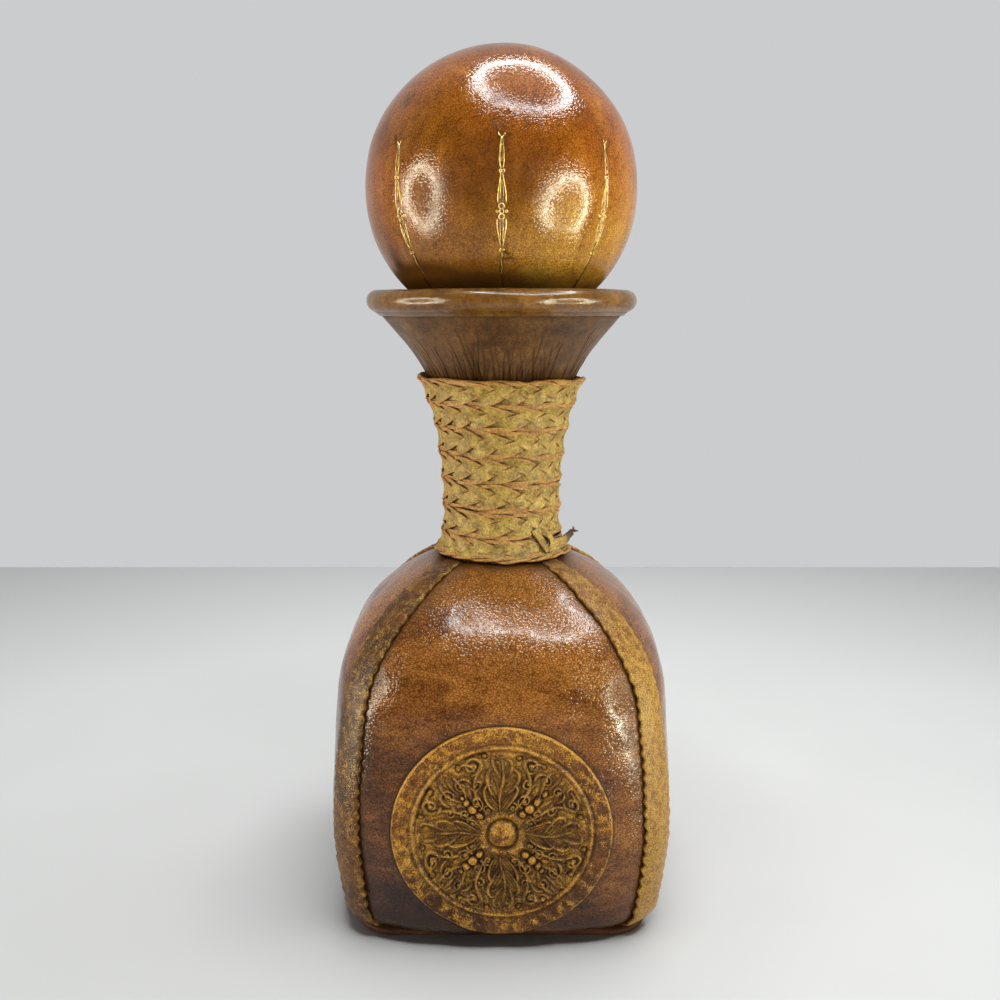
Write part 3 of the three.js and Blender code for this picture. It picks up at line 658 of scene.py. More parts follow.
def make_strip(corner, diagonal, seed):
    s = np.linspace(STRIP_START, SKIN_TOP, STRIP_TEETH * TOOTH_ROWS + 1)[:, None]
    t = np.sin(np.linspace(-1, 1, 33) * math.pi / 2)[None, :]
    draw = np.random.default_rng(seed)
    slack = waves(seed, 9)(points_at(s)) * STRIP_SLACK
    phase = np.where(t < 0, draw.uniform(0, 1), draw.uniform(0, 1))
    tooth = (s - STRIP_START) / (SKIN_TOP - STRIP_START) * STRIP_TEETH + phase
    notch = lerp(0.5 - 0.5 * np.cos(TURN * tooth), 1 - np.abs(2 * np.mod(tooth, 1) - 1), TOOTH_SHARPNESS)
    worn = lerp(0.85, 0.5, share(s, EDGE_END, SKIN_TOP))
    edge = strip_half(s) + slack - TOOTH_DEPTH * worn * notch
    aside = t * edge
    angle = diagonal * DEG + lateral_turn(s, aside)
    flat = glass(s, angle)
    inside = edge - np.abs(aside)
    drawn_in = eased(s, aside)
    round_off = 0.25 * clamp(1 - inside / 0.4) ** 2
    lift = STRIP_OUTER - 0.2 + STRIP_CROWN * (1 - t * t) - round_off
    lift = lift + 0.08 * waves(seed + 5, 8)(flat) - drawn_in
    end = share(s, SKIN_TOP - STRIP_END, SKIN_TOP) + share(-s, -STRIP_START - STRIP_END, -STRIP_START)
    lift = lift - 0.5 * end ** 2 - STRIP_PRESSED * smooth(share(s, SKIN_TOP - 9, SKIN_TOP - 4))
    under = skin(s, angle, PANEL_OUTER - 0.15 - drawn_in)
    # More gold towards the right, partly painted light, with gold along the pinked edge and less up the
    # shoulder
    gilding_and_light = 1.1 * share(flat[..., 0], -45, 45) - 0.25 + 0.2 * waves(seed + 9, 15)(flat)
    gilding_and_light += 0.25 * clamp(1 - inside / 0.5)
    gilding_and_light -= 0.35 * smooth(share(s, SIDE_END - 5, SHOULDER_END - 12))
    # Painted shade at the top end under the braid; the underside is fully dark, so the lower half of the
    # pinked edges is painted shade too
    grime_on_top = 0.7 * bell(SKIN_TOP - s, 3) + 0 * t
    piece("strip_" + corner, sheet(skin(s, angle, lift), under), strip_leather, "strip_leather",
          ["corner_strip_" + corner], edge=gilding_and_light, grime=np.stack([grime_on_top, np.ones_like(angle)]))


# Sole
SOLE_HALF = 47
SOLE_CORNER = 12
SOLE_BEVEL = 0.45
SOLE_THICK = 2
SOLE_INNER = SOLE_CORNER - 4
PLATE_COLUMNS = 160


def plate(half, corner, steps):
    """Rings of a square with round corners, at steps of reach from their centres and of height."""
    turn = around(PLATE_COLUMNS) + math.pi / PLATE_COLUMNS
    way = np.stack([np.cos(turn), np.sin(turn)], -1)
    centre = np.sign(way) * (half - corner)
    return np.array([np.column_stack([centre + way * reach, np.full(len(way), z)]) for reach, z in steps])


def make_sole():
    lower = [(SOLE_INNER, 0), (SOLE_CORNER - SOLE_BEVEL, 0), (SOLE_CORNER, SOLE_BEVEL)]
    upper = [(reach, SOLE_THICK - z) for reach, z in reversed(lower)]
    shape = tube(plate(SOLE_HALF, SOLE_CORNER, lower + upper))
    piece("sole", shape, sole_leather, "sole_leather", ["base_sole"], sharp=50)


# Medallion: radii from its plain boss, through the ring between two grooves, to the lumps of its border
BOSS_RADIUS = 4.7
DITCH_RADIUS = 5.5
PETAL_RADIUS = 7
INNER_GROOVE = 26.5
RING_RADIUS = 27.4
OUTER_GROOVE = 28.2
BORDER_MIDDLE = 31
PETALS = 16
LUMPS = 40
DISC_LIFT = 3
MOAT_WIDTH = 2.6


def gaps(p, line):
    return np.linalg.norm(p[:, None] - np.reshape(line, (-1, 2)), axis=-1)


def stroke(p, points, width, height):
    """Rounded ridge along a curve, thinner at its ends, and the moat beside it."""
    line = bezier(*points)[::6]
    gap = gaps(p, line)
    along = gap.argmin(1) / (len(line) - 1)
    taper = 0.45 + 0.55 * np.sin(math.pi * np.clip(along, 0.04, 0.96)) ** 0.6
    return height * taper * bell(gap.min(1), width * taper), bell(gap.min(1), MOAT_WIDTH * width * taper)


def spiral(p, centre, radius, start, turns, width):
    t = np.linspace(0, 1, 60)
    angle = start + turns * TURN * t
    r = radius * (1 - 0.82 * t)
    line = np.stack([centre[0] + r * np.cos(angle), centre[1] + r * np.sin(angle)], -1)
    gap = gaps(p, line).min(1)
    eye = 1.1 * bell(gaps(p, centre)[:, 0], 0.18 * radius + 0.3)
    return 0.65 * np.maximum(bell(gap, width), eye), bell(gap, MOAT_WIDTH * width)


def berry(p, centre, radius, height):
    gap = gaps(p, centre)[:, 0] / radius
    return height * np.sqrt(clamp(1 - gap ** 2)), bell(np.maximum(gap - 1, 0), 0.6)


# Ornament of an eighth of the field, between the middle of a leaf at 0 degrees and the berries at 45 degrees
# Lines as width, height and control points: midrib, lobes, veins, stem, tendrils and stalk
LINES = [
    (0.4, 0.6, (7, 0), (15, 0), (24.8, 0)),
    (0.38, 0.75, (8.2, 0.8), (9.6, 3.8), (14.2, 6), (16.6, 4.2), (15.2, 2.6)),
    (0.38, 0.75, (12.6, 1), (14.6, 4.2), (19.2, 6.2), (21.2, 4.2), (19.8, 2.4)),
    (0.4, 0.65, (17.4, 0.8), (19.8, 3), (23.2, 4.2), (24.6, 2.4), (23.4, 1.2)),
    (0.3, 0.4, (9.4, 0.2), (11.4, 1.2), (13.2, 3)),
    (0.3, 0.4, (14, 0.2), (16, 1.2), (18, 3.2)),
    (0.28, 0.36, (18.8, 0.2), (20.4, 0.8), (22, 2)),
    (0.42, 0.8, (7.2, 2.4), (9.5, 7.4), (15.5, 9.8), (20.5, 6.4), (24.8, 6.6)),
    (0.42, 0.7, (16, 8.6), (18.4, 9.4), (19.4, 12), (17.6, 13.4)),
    (0.42, 0.7, (19.4, 8), (21.6, 8.6), (23, 11), (21.4, 12.6)),
    (0.42, 0.7, polar(15.6, 44), polar(18.5, 36), polar(22.5, 35), polar(25.6, 40)),
    (0.36, 0.6, polar(18.6, 45), polar(22, 45), polar(25.8, 45)),
]
# Scrolls as radius and degrees from the centre, size, degrees at the start, turns and width
SCROLLS = [(23.3, 22.5, 2.7, 190, 1.4, 0.42), (20.6, 37.5, 1.9, 30, 1.3, 0.36),
           (12.9, 33, 2, 200, 1.25, 0.38), (17.4, 24, 1.7, 120, 1.2, 0.36), (9.9, 24, 1.3, 0, 1.1, 0.32)]
# Berries as radius and degrees from the centre, size and height
BERRIES = [(9.6, 45, 1.15, 0.75), (12.3, 45, 1.45, 0.9), (15, 45, 1.1, 0.75), (17.1, 45, 0.85, 0.6),
           (24.9, 31, 0.8, 0.55), (24.8, 12, 0.75, 0.5)]


def rosette(x, y):
    """Relief of an acanthus rosette with four leaves, scrolls, berries and a plain boss, and its hollows."""
    flat = points_at(x, y)
    x = x + 0.9 * waves(21, 15)(flat)
    y = y + 0.9 * waves(22, 15)(flat)
    r = np.hypot(x, y)
    theta = np.arctan2(y, x)
    local = theta - np.round(theta / (math.pi / 2)) * math.pi / 2
    p = np.stack([r * np.cos(local), np.abs(r * np.sin(local))], -1)
    ridges = [stroke(p, points, width, height) for width, height, *points in LINES]
    ridges += [spiral(p, polar(away, at), size, start * DEG, turns, width)
               for away, at, size, start, turns, width in SCROLLS]
    ridges += [berry(p, polar(away, at), size, height) for away, at, size, height in BERRIES]
    high, moat = np.max(ridges, axis=0) * (1 - smooth(share(r, 25.9, 26.7)))
    moat = clamp(moat - 1.5 * high) * smooth(share(r, 6.2, 7.4))
    petals = 0.4 * np.abs(np.cos(PETALS / 2 * theta)) ** 0.7 * bell(r - PETAL_RADIUS, 0.9)
    worn = 0.1 * waves(25, 1.7)(flat) * (r < BOSS_RADIUS - 0.5)
    boss = np.sqrt(clamp(1 - (r / BOSS_RADIUS) ** 2)) + worn
    ditch = bell(r - DITCH_RADIUS, 0.7)
    return 1.3 * high + petals + boss - 0.45 * moat - 0.4 * ditch, np.maximum(moat, ditch)


def make_medallion():
    r = stations(0.25, (28, 120), (DISC_RADIUS, 30))
    turn = around(480)[None, :]
    x, y = r * np.cos(turn), r * np.sin(turn)
    relief, moat = (v.reshape(x.shape) for v in rosette(x.ravel(), y.ravel()))
    flat = points_at(x, y)
    ring = 0.36 * bell(r - RING_RADIUS, 0.32)
    ring = ring - 0.24 * bell(r - OUTER_GROOVE, 0.35) - 0.16 * bell(r - INNER_GROOVE, 0.35)
    patch = smooth(share(waves(28, 14)(flat) - 0.5 * np.sin(turn), -0.8, 0.8))
    lump = np.cos(turn * LUMPS + 1.2 * waves(27, 9)(flat)) * bell(r - BORDER_MIDDLE, 1.7) * patch
    stamps = 0.4 * np.clip(lump, -0.4, 1)
    rough = lerp(0.07, 0.16, share(r, OUTER_GROOVE, OUTER_GROOVE + 1)) * waves(26, 1.7, 40)(flat)
    round_off = 0.55 * clamp(1 - (DISC_RADIUS - r) / 0.7) ** 2
    lift = DISC_LIFT + relief + ring + stamps + rough - round_off

    def place(offset):
        s = DISC_RUN + y
        half, n = np.interp(s, RUN, HALF), squareness(s)
        depth = (half ** n - np.abs(x) ** n) ** (1 / n)
        return skin(s, np.arctan2(-depth, x), offset)

    low = place(PANEL_OUTER - 0.5)
    rings = np.concatenate([place(lift), low[::-1][::6]])
    upper_left = smooth(share(y - x, -15, 30))
    ridge_tops = share(relief, 0.4, 0.95) * (r > DITCH_RADIUS + 0.5)
    gilding_and_light = 0.3 * upper_left + 0.6 * ridge_tops + 0.3 * (r < INNER_GROOVE) + 1.1 * stamps
    gilding_and_light += (0.6 * waves(29, 6)(flat) - 0.15) * (r > OUTER_GROOVE + 0.2)
    # A thin gold line along the outer edge, a painted highlight on the rounded rim, and gold on the raised
    # ring
    gilding_and_light += 1.3 * bell(r - DISC_RADIUS + 0.25, 0.28) + 0.6 * bell(r - RING_RADIUS, 0.3)
    # Painted shadow in the moats beside the ridges, between the border's lumps and in both grooves
    grime = 0.95 * moat + 0.5 * clamp(-lump)
    grime += 0.5 * bell(r - OUTER_GROOVE - 0.4, 0.45) + 0.6 * bell(r - INNER_GROOVE + 0.1, 0.35)
    piece("medallion_disc", tube(rings), medallion_leather, "medallion_leather", ["medallion"],
          edge=np.clip(gilding_and_light, -1, 1), grime=clamp(grime))


# Collar: the sleeve of the neck, gathered above the braid
COLLAR_START = SHOULDER_END + SKIN_GAP
COLLAR_END = LIP_END - 0.3
GATHER_Z = 178
GATHER_RUN = np.interp(GATHER_Z, HEIGHT, RUN)
GATHERS = 150
FRONT_GATHERS = 60


def make_collar():
    angle = around(800)[None, :]
    s = stations(COLLAR_START, (GATHER_RUN - 8, 14), (COLLAR_END, 74))
    lift = SLEEVE_OUTER + 0.12 * waves(31, 16)(glass(s, angle))
    radius = np.interp(s, RUN, HALF)
    draw = np.random.default_rng(33)
    dark = 0 * lift
    for k in range(GATHERS):
        front = k < FRONT_GATHERS
        centre = FRONT + (draw.normal(0, 28) * DEG if front else draw.uniform(-math.pi, math.pi))
        top = GATHER_RUN + 3 + (draw.gamma(2.4, 3.6) if front else draw.gamma(2, 2.6))
        width, deep = draw.uniform(0.18, 0.34), draw.uniform(0.08, 0.22)
        lean, bend, phase = draw.normal(0, 0.004), draw.uniform(0, 0.45), draw.uniform(0, 6)
        path = centre + lean * (s - GATHER_RUN) + bend * np.sin(s / 3.1 + phase) / radius
        gap = (np.mod(angle - path + math.pi, TURN) - math.pi) * radius
        fade = smooth(share(top - s, 0, 5))
        beside = bell(np.abs(gap) - 2.2 * width, width)
        lift = lift - deep * fade * bell(gap, width) + 0.4 * deep * fade * beside
        dark = np.maximum(dark, 0.65 * fade * bell(gap, 1.1 * width))
    below_rim = bell(s - LIP_END + RIM_SKIRT[0][0] + 0.4, 0.8)
    # Painted shade in the creases of the gathers, just above the braid and under the rim's skirt
    grime = clamp(dark + 0.3 * bell(s - GATHER_RUN, 3) + 0.5 * below_rim)
    inner = skin(s[::-1][::9], angle, GLUE_GAP)
    shape = tube(np.concatenate([skin(s, angle, lift), inner]), True)
    piece("collar", shape, neck_leather, "neck_leather", ["collar_sleeve"], grime=grime)


# Rolled rim: a bead round the lip, with a skirt outside and a lining inside
RIM_MIDDLE = -0.5
RIM_BEAD = 3.5
RIM_HOLLOW = 2.3
LINING_RUN = 16
LINING_THICK = 1.2
LINING_START = 2
# Section of the skirt as run below the lip and height over the sleeve
RIM_SKIRT = [(4.2, 0.05), (4.2, 0.4), (3.9, 0.62), (3, 0.72), (2.3, 0.86)]


def make_rim():
    angle = around(240)
    rows = []

    def row(run, offset, rise=0):
        normal, up = normal_at(run, angle)
        rows.append(glass(run, angle) + normal * offset + up * rise)

    def arc(radius, start, end, count):
        for turn in np.linspace(start, end, count) * DEG:
            row(LIP_END, RIM_MIDDLE + radius * math.cos(turn), radius * math.sin(turn))

    for below, over in RIM_SKIRT:
        row(LIP_END - below, SLEEVE_OUTER + over)
    arc(RIM_BEAD, -28, 180, 30)
    lining_end = LIP_END - LINING_RUN
    for run in np.linspace(LIP_END - LINING_START, lining_end, 10):
        row(run, -wall_at(run) - GLUE_GAP - LINING_THICK)
    row(lining_end - 0.3, -wall_at(lining_end) - GLUE_GAP - LINING_THICK / 2)
    outer_rows = len(rows)
    for run in np.linspace(lining_end, LIP_END - LINING_START, 5):
        row(run, -wall_at(run) - GLUE_GAP)
    arc(RIM_HOLLOW, 180, 0, 12)
    row(LIP_END - RIM_SKIRT[-1][0] - 0.1, SLEEVE_OUTER + RIM_SKIRT[0][1])
    rings = np.array(rows)
    outer = (np.arange(len(rings)) < outer_rows)[:, None]
    rings = rings + outward(rings) * (0.14 * waves(41, 15)(rings) * outer)[..., None]
    rings[:, :, 2] += 0.12 * waves(42, 22)(rings) * outer
    # Painted shade where the skirt lies on the sleeve and along the foot of the bead
    grime = np.zeros(rings.shape[:2])
    grime[:2] = 0.9
    grime[4] = 0.45
    piece("rim", tube(rings, True), rim_leather, "rim_leather", ["rim_band"], grime=grime)


# Braid: three laces and two borders, wound up the neck, with both ends thinned out behind
BRAID_BOTTOM = SHOULDER_END + 0.3
BRAID_TOP = LIP_END - 24
BRAID_START = -38 * DEG
BRAID_WIDTH = 7.8
BRAID_PITCH = BRAID_WIDTH + 0.9
BRAID_MARGIN = 0.3
BRAID_PART_TURN = 0.6
BRAID_LEAD = 0.6
BRAID_DROP = 2.2
BRAID_STEPPED = 0.7
BRAID_END = 32
BRAID_RINGS = 170
BRAID_SWING = 2.4
BRAID_WEAVE = 0.62
BRAID_PERIOD = 25
LACES = 3
LACE_HALF = 2.35
LACE_THICK = 0.5
BORDER_HALF = 0.75
BORDER_THICK = 0.45

# Right half of a lace's section, thin in the middle, as across, out and how far a point is cut edge
HALF_LACE = np.array([(0, -0.8, 0), (0.5, -0.8, 0), (0.88, -0.9, 1), (0.97, -0.75, 1), (1, 0, 1),
                      (0.97, 0.75, 1), (0.88, 1.15, 0.9), (0.74, 0.8, 0.3), (0.45, 0.62, 0), (0, 0.58, 0)])
LACE_ACROSS, LACE_OUT, LACE_CUT = np.concatenate([HALF_LACE, HALF_LACE[-2:0:-1] * (-1, 1, 1)]).T


def lace(path, normal, half, thick):
    """Flat lace along a path, and how far each of its points is a cut edge."""
    along = unit(np.gradient(path, axis=0))
    normal = unit(normal - (normal * along).sum(-1, keepdims=True) * along)
    across = np.cross(normal, along)
    half = np.broadcast_to(half, len(path))[:, None, None]
    thick = np.broadcast_to(thick, len(path))[:, None, None]
    rings = path[:, None] + across[:, None] * LACE_ACROSS[None, :, None] * half
    rings = rings + normal[:, None] * LACE_OUT[None, :, None] * thick
    return tube(rings), np.concatenate([np.tile(LACE_CUT, len(path)), [1, 1]])


def braid_route():
    """Angle, run and length along the middle of the braid, and how full it is, less towards its ends."""
    stages = np.linspace(BRAID_BOTTOM, BRAID_TOP, 400)
    climbed = run_along(skin(stages, 0, BRAID_MIDDLE))
    room = climbed[-1] - BRAID_WIDTH - BRAID_MARGIN
    turns = round(room / BRAID_PITCH - BRAID_PART_TURN) + BRAID_PART_TURN
    turn = np.linspace(-BRAID_LEAD, turns, int((turns + BRAID_LEAD) * BRAID_RINGS))
    angle = BRAID_START - turn * TURN
    past_back = turn - np.mod((BRAID_START + FRONT) / TURN, 1) + 0.5
    level = np.maximum(np.floor(past_back) + smooth(share(np.mod(past_back, 1), 0.2, 0.8)), 0)
    climb = room / turns * lerp(np.maximum(turn, 0), level, BRAID_STEPPED)
    height = BRAID_MARGIN + BRAID_WIDTH / 2 + climb
    height += 0.3 * np.sin(turn * TURN * 1.37 + 1) * np.sin(math.pi * turn / turns)
    height -= BRAID_DROP * (1 - smooth(turn / 5))
    run = np.interp(height, climbed, stages)
    length = run_along(skin(run, angle, BRAID_MIDDLE))
    room_below = (np.interp(turn + 1, turn, height) - height) / (BRAID_WIDTH + 1.6)
    lead = np.clip(np.where(turn < 0, room_below, 1), 0.1, 1)
    tail = 1 - 0.9 * smooth(share(length, length[-1] - BRAID_END, length[-1]))
    return angle, run, length, np.minimum(lead, tail)


def make_braid():
    angle, run, length, full = braid_route()
    draw = np.random.default_rng(51)
    wander = waves(52, 26)(points_at(length))
    sunk, shift = 0.8 * (1 - full), (BRAID_WIDTH / 2 + 0.8) * (1 - full)
    beat = TURN * length / BRAID_PERIOD
    laces, borders = [], []
    for k in range(LACES):
        phase = beat + 0.7 * wander + TURN * k / LACES
        jitter = waves(53 + k, 11)(points_at(length))
        swing = BRAID_SWING * (1 + 0.12 * jitter) * full
        weave = BRAID_WEAVE * np.sin(2 * phase) * lerp(0.4, 1, full)
        place = run + swing * np.sin(phase) - shift
        path = skin(place, angle, BRAID_MIDDLE + weave + 0.1 * jitter - sunk)
        normal, up = normal_at(place, angle)
        roll = -0.3 * np.sin(phase)[:, None]
        half = LACE_HALF * (1 + 0.1 * jitter + draw.uniform(-0.05, 0.05)) * lerp(0.15, 1, full)
        laces.append(lace(path, unit(normal + up * roll), half, LACE_THICK))
    for side in (-1, 1):
        phase = beat * 1.5 + 1.3 * wander + side
        place = run + side * (BRAID_WIDTH / 2 + 0.15 + 0.25 * np.sin(phase)) * full - shift
        path = skin(place, angle, BRAID_MIDDLE + 0.5 + 0.3 * np.cos(phase) - sunk)
        half = (BORDER_HALF + 0.16 * np.sin(0.61 * phase)) * lerp(0.4, 1, full)
        shape, edge = lace(path, normal_at(place, angle)[0], half, BORDER_THICK)
        borders.append((shape, 0.75 + 0.25 * edge))
    for name, laid, nodes in (("braid", laces, ["neck_braid"]), ("braid_border", borders, [])):
        shapes, edges = zip(*laid)
        piece(name, merged(shapes), braid_lace, "braid_lace", nodes, edge=np.concatenate(edges))


# Loose ends at the lower right, two tails and two laces tucked in, as half-width, thickness, facing, darkness
# of the tip, and points as run above the braid's foot, degrees and height over the glass
TAIL_FACING = (1, -0.55, 0.15)
LOOSE_ENDS = [
    (1.5, 0.5, TAIL_FACING, 1, (7, -44, 3.6), (5.5, -34, 5), (5, -22, 6), (8.5, -12, 8.8)),
    (1.3, 0.45, TAIL_FACING, 0.2, (4, -40, 3.4), (3, -30, 4.6), (4.6, -20, 6.4), (5.8, -14, 6.9)),
    (1.25, 0.45, (0.6, -0.8, 0.1), 0, (12.5, -58, 4.2), (9, -54, 6), (5, -50, 6), (1.5, -47, 4.4)),
    (1.2, 0.45, (0.7, -0.7, 0.1), 0, (11.5, -49, 4.2), (11, -43, 6.6), (4, -41, 6.6), (3.2, -47, 4.4)),
]
FRAY_ROOT = (8.2, -13, 8.2)
FRAYS = 7
FRAY_HALF = 0.22
FRAY_THICK = 0.14


def loose_end(half, thick, facing, dark, *points):
    path = bezier(*points)[::10]
    t = np.linspace(0, 1, len(path))
    normal = np.broadcast_to(unit(np.array(facing)), path.shape)
    tip = np.repeat(dark * smooth(share(t, 0.55, 0.9)), len(LACE_CUT))
    return *lace(path, normal, half * (1 - 0.3 * t), thick), np.concatenate([tip, [0, dark]])


def make_braid_tail():
    def at(run, degrees, offset):
        return skin(BRAID_BOTTOM + run, degrees * DEG, offset)

    laid = [loose_end(*end[:4], *[at(*point) for point in end[4:]]) for end in LOOSE_ENDS]
    draw = np.random.default_rng(61)
    root = at(*FRAY_ROOT)
    for _ in range(FRAYS):
        end = root + np.array([draw.uniform(0.5, 2.6), draw.uniform(-1.2, 1.2), draw.uniform(-0.8, 2.4)])
        bend = (root + end) / 2 + draw.normal(0, 0.5, 3)
        laid.append(loose_end(FRAY_HALF, FRAY_THICK, TAIL_FACING, 1, root, bend, end))
    shapes, edges, tips = zip(*laid)
    piece("braid_tail", merged(shapes), braid_lace, "braid_lace", edge=np.concatenate(edges),
          tip=np.concatenate(tips))


# Stopper: a ball over the rim and a cork in the neck
BALL_RADIUS = 44.2
BALL_DROP = 12.8
RIM_TOP_Z = float(skin(LIP_END, 0, RIM_MIDDLE)[2]) + RIM_BEAD
BALL_Z = RIM_TOP_Z - BALL_DROP + BALL_RADIUS
COVER_THICK = 1.6
CORE_RADIUS = BALL_RADIUS - COVER_THICK - GLUE_GAP
CORK_GAP = 0.3
CORK_TIP_Z = NECK_Z + 7
CORK_TIP_RADIUS = NECK_RADIUS - NECK_WALL - CORK_GAP
CORK_TAPER = 0.05
CORK_SHOULDER_Z = BALL_Z - CORE_RADIUS
CORK_TOP_Z = CORK_SHOULDER_Z + 11.7
CORK_RADIUS = CORK_TIP_RADIUS + CORK_TAPER * (CORK_SHOULDER_Z - CORK_TIP_Z)
OPENING_RADIUS = CORK_RADIUS + 0.6
AXIS_RADIUS = 0.5

# Darts in the ball's cover: the latitude of their tops, and degrees to each side with closer columns
DARTS = 8
GORE = 360 / DARTS
DART_TOP = 16
DART_REACH = 2.6
POLE = 89.5
# Small tear beside the front dart: millimetres across it and down from the ball's middle
NICK = [[(0.3, -21.6), (1.4, -22.6), (3.4, -24.4)], [(0.4, -24.6), (1.8, -24.1), (3.4, -24.4)]]
# Painted shade on the front of the ball, as dark clouds: across and up from its middle, reach and strength
CLOUDS = [(-7, -4, 15, 0.5), (7, 3, 13, 0.3), (-24, -24, 10, 0.5), (-36, 13, 7, 0.4)]


def on_ball(latitude, azimuth, radius):
    return turned(radius * np.cos(latitude), azimuth, BALL_Z + radius * np.sin(latitude))


def ball_form(latitude, azimuth):
    """Radius of the ball's outside, distance from the nearest dart, and depth in a dart and in the nick."""
    from_dart = np.mod(azimuth / DEG + 90 + GORE / 2, GORE) - GORE / 2
    flat = on_ball(latitude, azimuth, BALL_RADIUS)
    aside = from_dart * DEG * BALL_RADIUS * np.cos(latitude) + 0.35 * waves(71, 9)(flat)
    below = smooth(share(DART_TOP - latitude / DEG, 0, 5))
    fold = below * bell(aside, 0.45)
    on_front = np.stack([aside, latitude * BALL_RADIUS + 0 * aside], -1).reshape(-1, 2)
    nick = sum(stroke(on_front, curve, 0.45, 1)[0] for curve in NICK).reshape(aside.shape)
    nick = nick * (np.abs(azimuth - FRONT) < 12 * DEG)
    sunk = 0.4 * fold + 0.3 * below * bell(aside, 6) + 0.45 * nick
    return BALL_RADIUS - 0.15 + 0.22 * waves(72, 30)(flat) - sunk, aside, fold, nick


def make_ball():
    near = np.linspace(-DART_REACH, DART_REACH, 17)
    far = np.linspace(DART_REACH, GORE - DART_REACH, 17)[1:-1]
    azimuth = np.concatenate([np.concatenate([near, far]) + k * GORE for k in range(DARTS)])
    azimuth = (azimuth - 90)[None, :] * DEG
    bottom = -math.acos(OPENING_RADIUS / BALL_RADIUS) / DEG
    degrees = stations(POLE, (22, 30), (-46, 100), (bottom, 16))
    latitude = degrees * DEG
    radius, aside, fold, nick = ball_form(latitude, azimuth)
    outer = on_ball(latitude, azimuth, radius)
    inner = on_ball(np.linspace(bottom, POLE, 24)[:, None] * DEG, azimuth, BALL_RADIUS - COVER_THICK)
    x, y, z = np.moveaxis(outer - np.array([0, 0, BALL_Z]), -1, 0)
    up = degrees - DART_TOP
    # Dark lines along the forked creases above the dart tops, painted shade
    fork = bell(aside - 0.26 * (up + 8), 0.3) + bell(aside + 0.2 * (up + 8), 0.3)
    crease = bell(up, 5) * (0.5 * bell(aside, 0.7) + fork)
    smudge = share(waves(73, 17)(outer), 0.9, 1.7) * 0.5
    shade = sum(dark * bell(np.hypot(x - across, z - rise), reach) for across, rise, reach, dark in CLOUDS)
    # A darker band low on the ball above the rim, painted shade with some dirt, weaker towards the right
    low = smooth(share(-degrees, 28, 41)) * lerp(1, 0.55, share(x, 5, 38))
    # Painted shade in the dart seams, darker lower down, with real smudges, the painted shade clouds on the
    # front only, the low band and the nick
    grime = lerp(0.1, 0.8, share(-degrees, 26, 32)) * fold + 0.8 * crease + smudge
    grime += shade * (y < 0) + low + nick
    warm = smooth(share(-z, -6, 22)) * lerp(0.3, 1, share(x, -22, 12)) * lerp(1, 0.5, share(x, 22, 40))
    warm += 0.35 * bell(np.hypot(x + 22, z - 13), 12)
    piece("ball", tube(np.concatenate([outer, inner])), ball_leather, "ball_leather",
          ["stopper_cover"], "stopper", grime=clamp(grime), warm=clamp(warm))


# Gold tooling on a dart: leaves as latitudes of their ends and half-widths along them, and rings as place
# across the dart, latitude, half-width and half-height
LEAVES = [(13.5, 2, (0.15, 0.5, 1, 0.3)), (0.2, -10.4, (0.3, 0.6, 1.5, 1.15)),
          (-16.2, -27.4, (1.15, 1.6, 0.5, 0.25))]
RINGS = [(-0.45, 1.1, 0.36, 0.42), (0.45, 1.1, 0.36, 0.42), (0, -11.6, 0.85, 0.8), (0, -13.5, 0.62, 0.62),
         (-1.35, -13.5, 0.3, 0.3), (1.35, -13.5, 0.3, 0.3), (0, -15.4, 0.85, 0.8), (-0.42, -28.3, 0.34, 0.4),
         (0.42, -28.3, 0.34, 0.4)]
VEIN_SHARE = 0.42


def gold_line(across, latitude, azimuth, thick, looped):
    """Raised gold line through places in millimetres across a dart and radians of latitude."""
    aside = azimuth + across / (BALL_RADIUS * np.cos(latitude))
    middle = on_ball(latitude, aside, ball_form(latitude, aside)[0] + 0.02)
    out = unit(middle - np.array([0, 0, BALL_Z]))
    if looped:
        along = unit(np.roll(middle, -1, 0) - np.roll(middle, 1, 0))
    else:
        along = unit(np.gradient(middle, axis=0))
    side = np.cross(out, along)
    turn = around(6)[None, :, None]
    rings = middle[:, None] + side[:, None] * np.cos(turn) * thick + out[:, None] * np.sin(turn) * thick
    return tube(rings, looped)


def dart_tooling(azimuth, draw):
    """A fork, long narrow leaves in outline with veins, rings between them, and a tail."""
    shapes = []
    loop = around(16)
    t = np.linspace(0, 1, 15)
    slip = draw.normal(0, 0.7)

    def line(across, degrees, thick, looped=False):
        shapes.append(gold_line(across, (degrees + slip) * DEG, azimuth, thick, looped))

    for top, bottom, halves in LEAVES:
        half = np.interp(t, np.linspace(0, 1, CURVE_POINTS), bezier(*[(h,) for h in halves])[:, 0])
        for side in (-1, 1):
            line(side * half + draw.normal(0, 0.05), lerp(top, bottom, t), draw.uniform(0.14, 0.2))
        for side in (-VEIN_SHARE, VEIN_SHARE):
            inner = slice(3, int(draw.uniform(11, 14)))
            line(side * half[inner], lerp(top, bottom, t)[inner], 0.12)
    for across, degrees, wide, tall in RINGS:
        tall = tall / (DEG * BALL_RADIUS)
        line(across + wide * np.cos(loop) + draw.normal(0, 0.06), degrees + tall * np.sin(loop), 0.16, True)
    for side in (-1, 1):
        spread = lerp(0.12, draw.uniform(0.6, 1.1), t[::2])
        line(side * spread, lerp(13.3, draw.uniform(14.6, 15.8), t[::2]), 0.13)
    tail = np.linspace(-29.3, draw.uniform(-41, -39), 9)
    line(0.1 * np.sin(tail), tail, 0.15)
    return shapes


def make_tooling():
    draw = np.random.default_rng(81)
    shapes = []
    for k in range(DARTS):
        shapes += dart_tooling(FRONT + k * TURN / DARTS, draw)
    piece("ball_tooling", merged(shapes), gold_material(), "ball_leather", body="stopper")


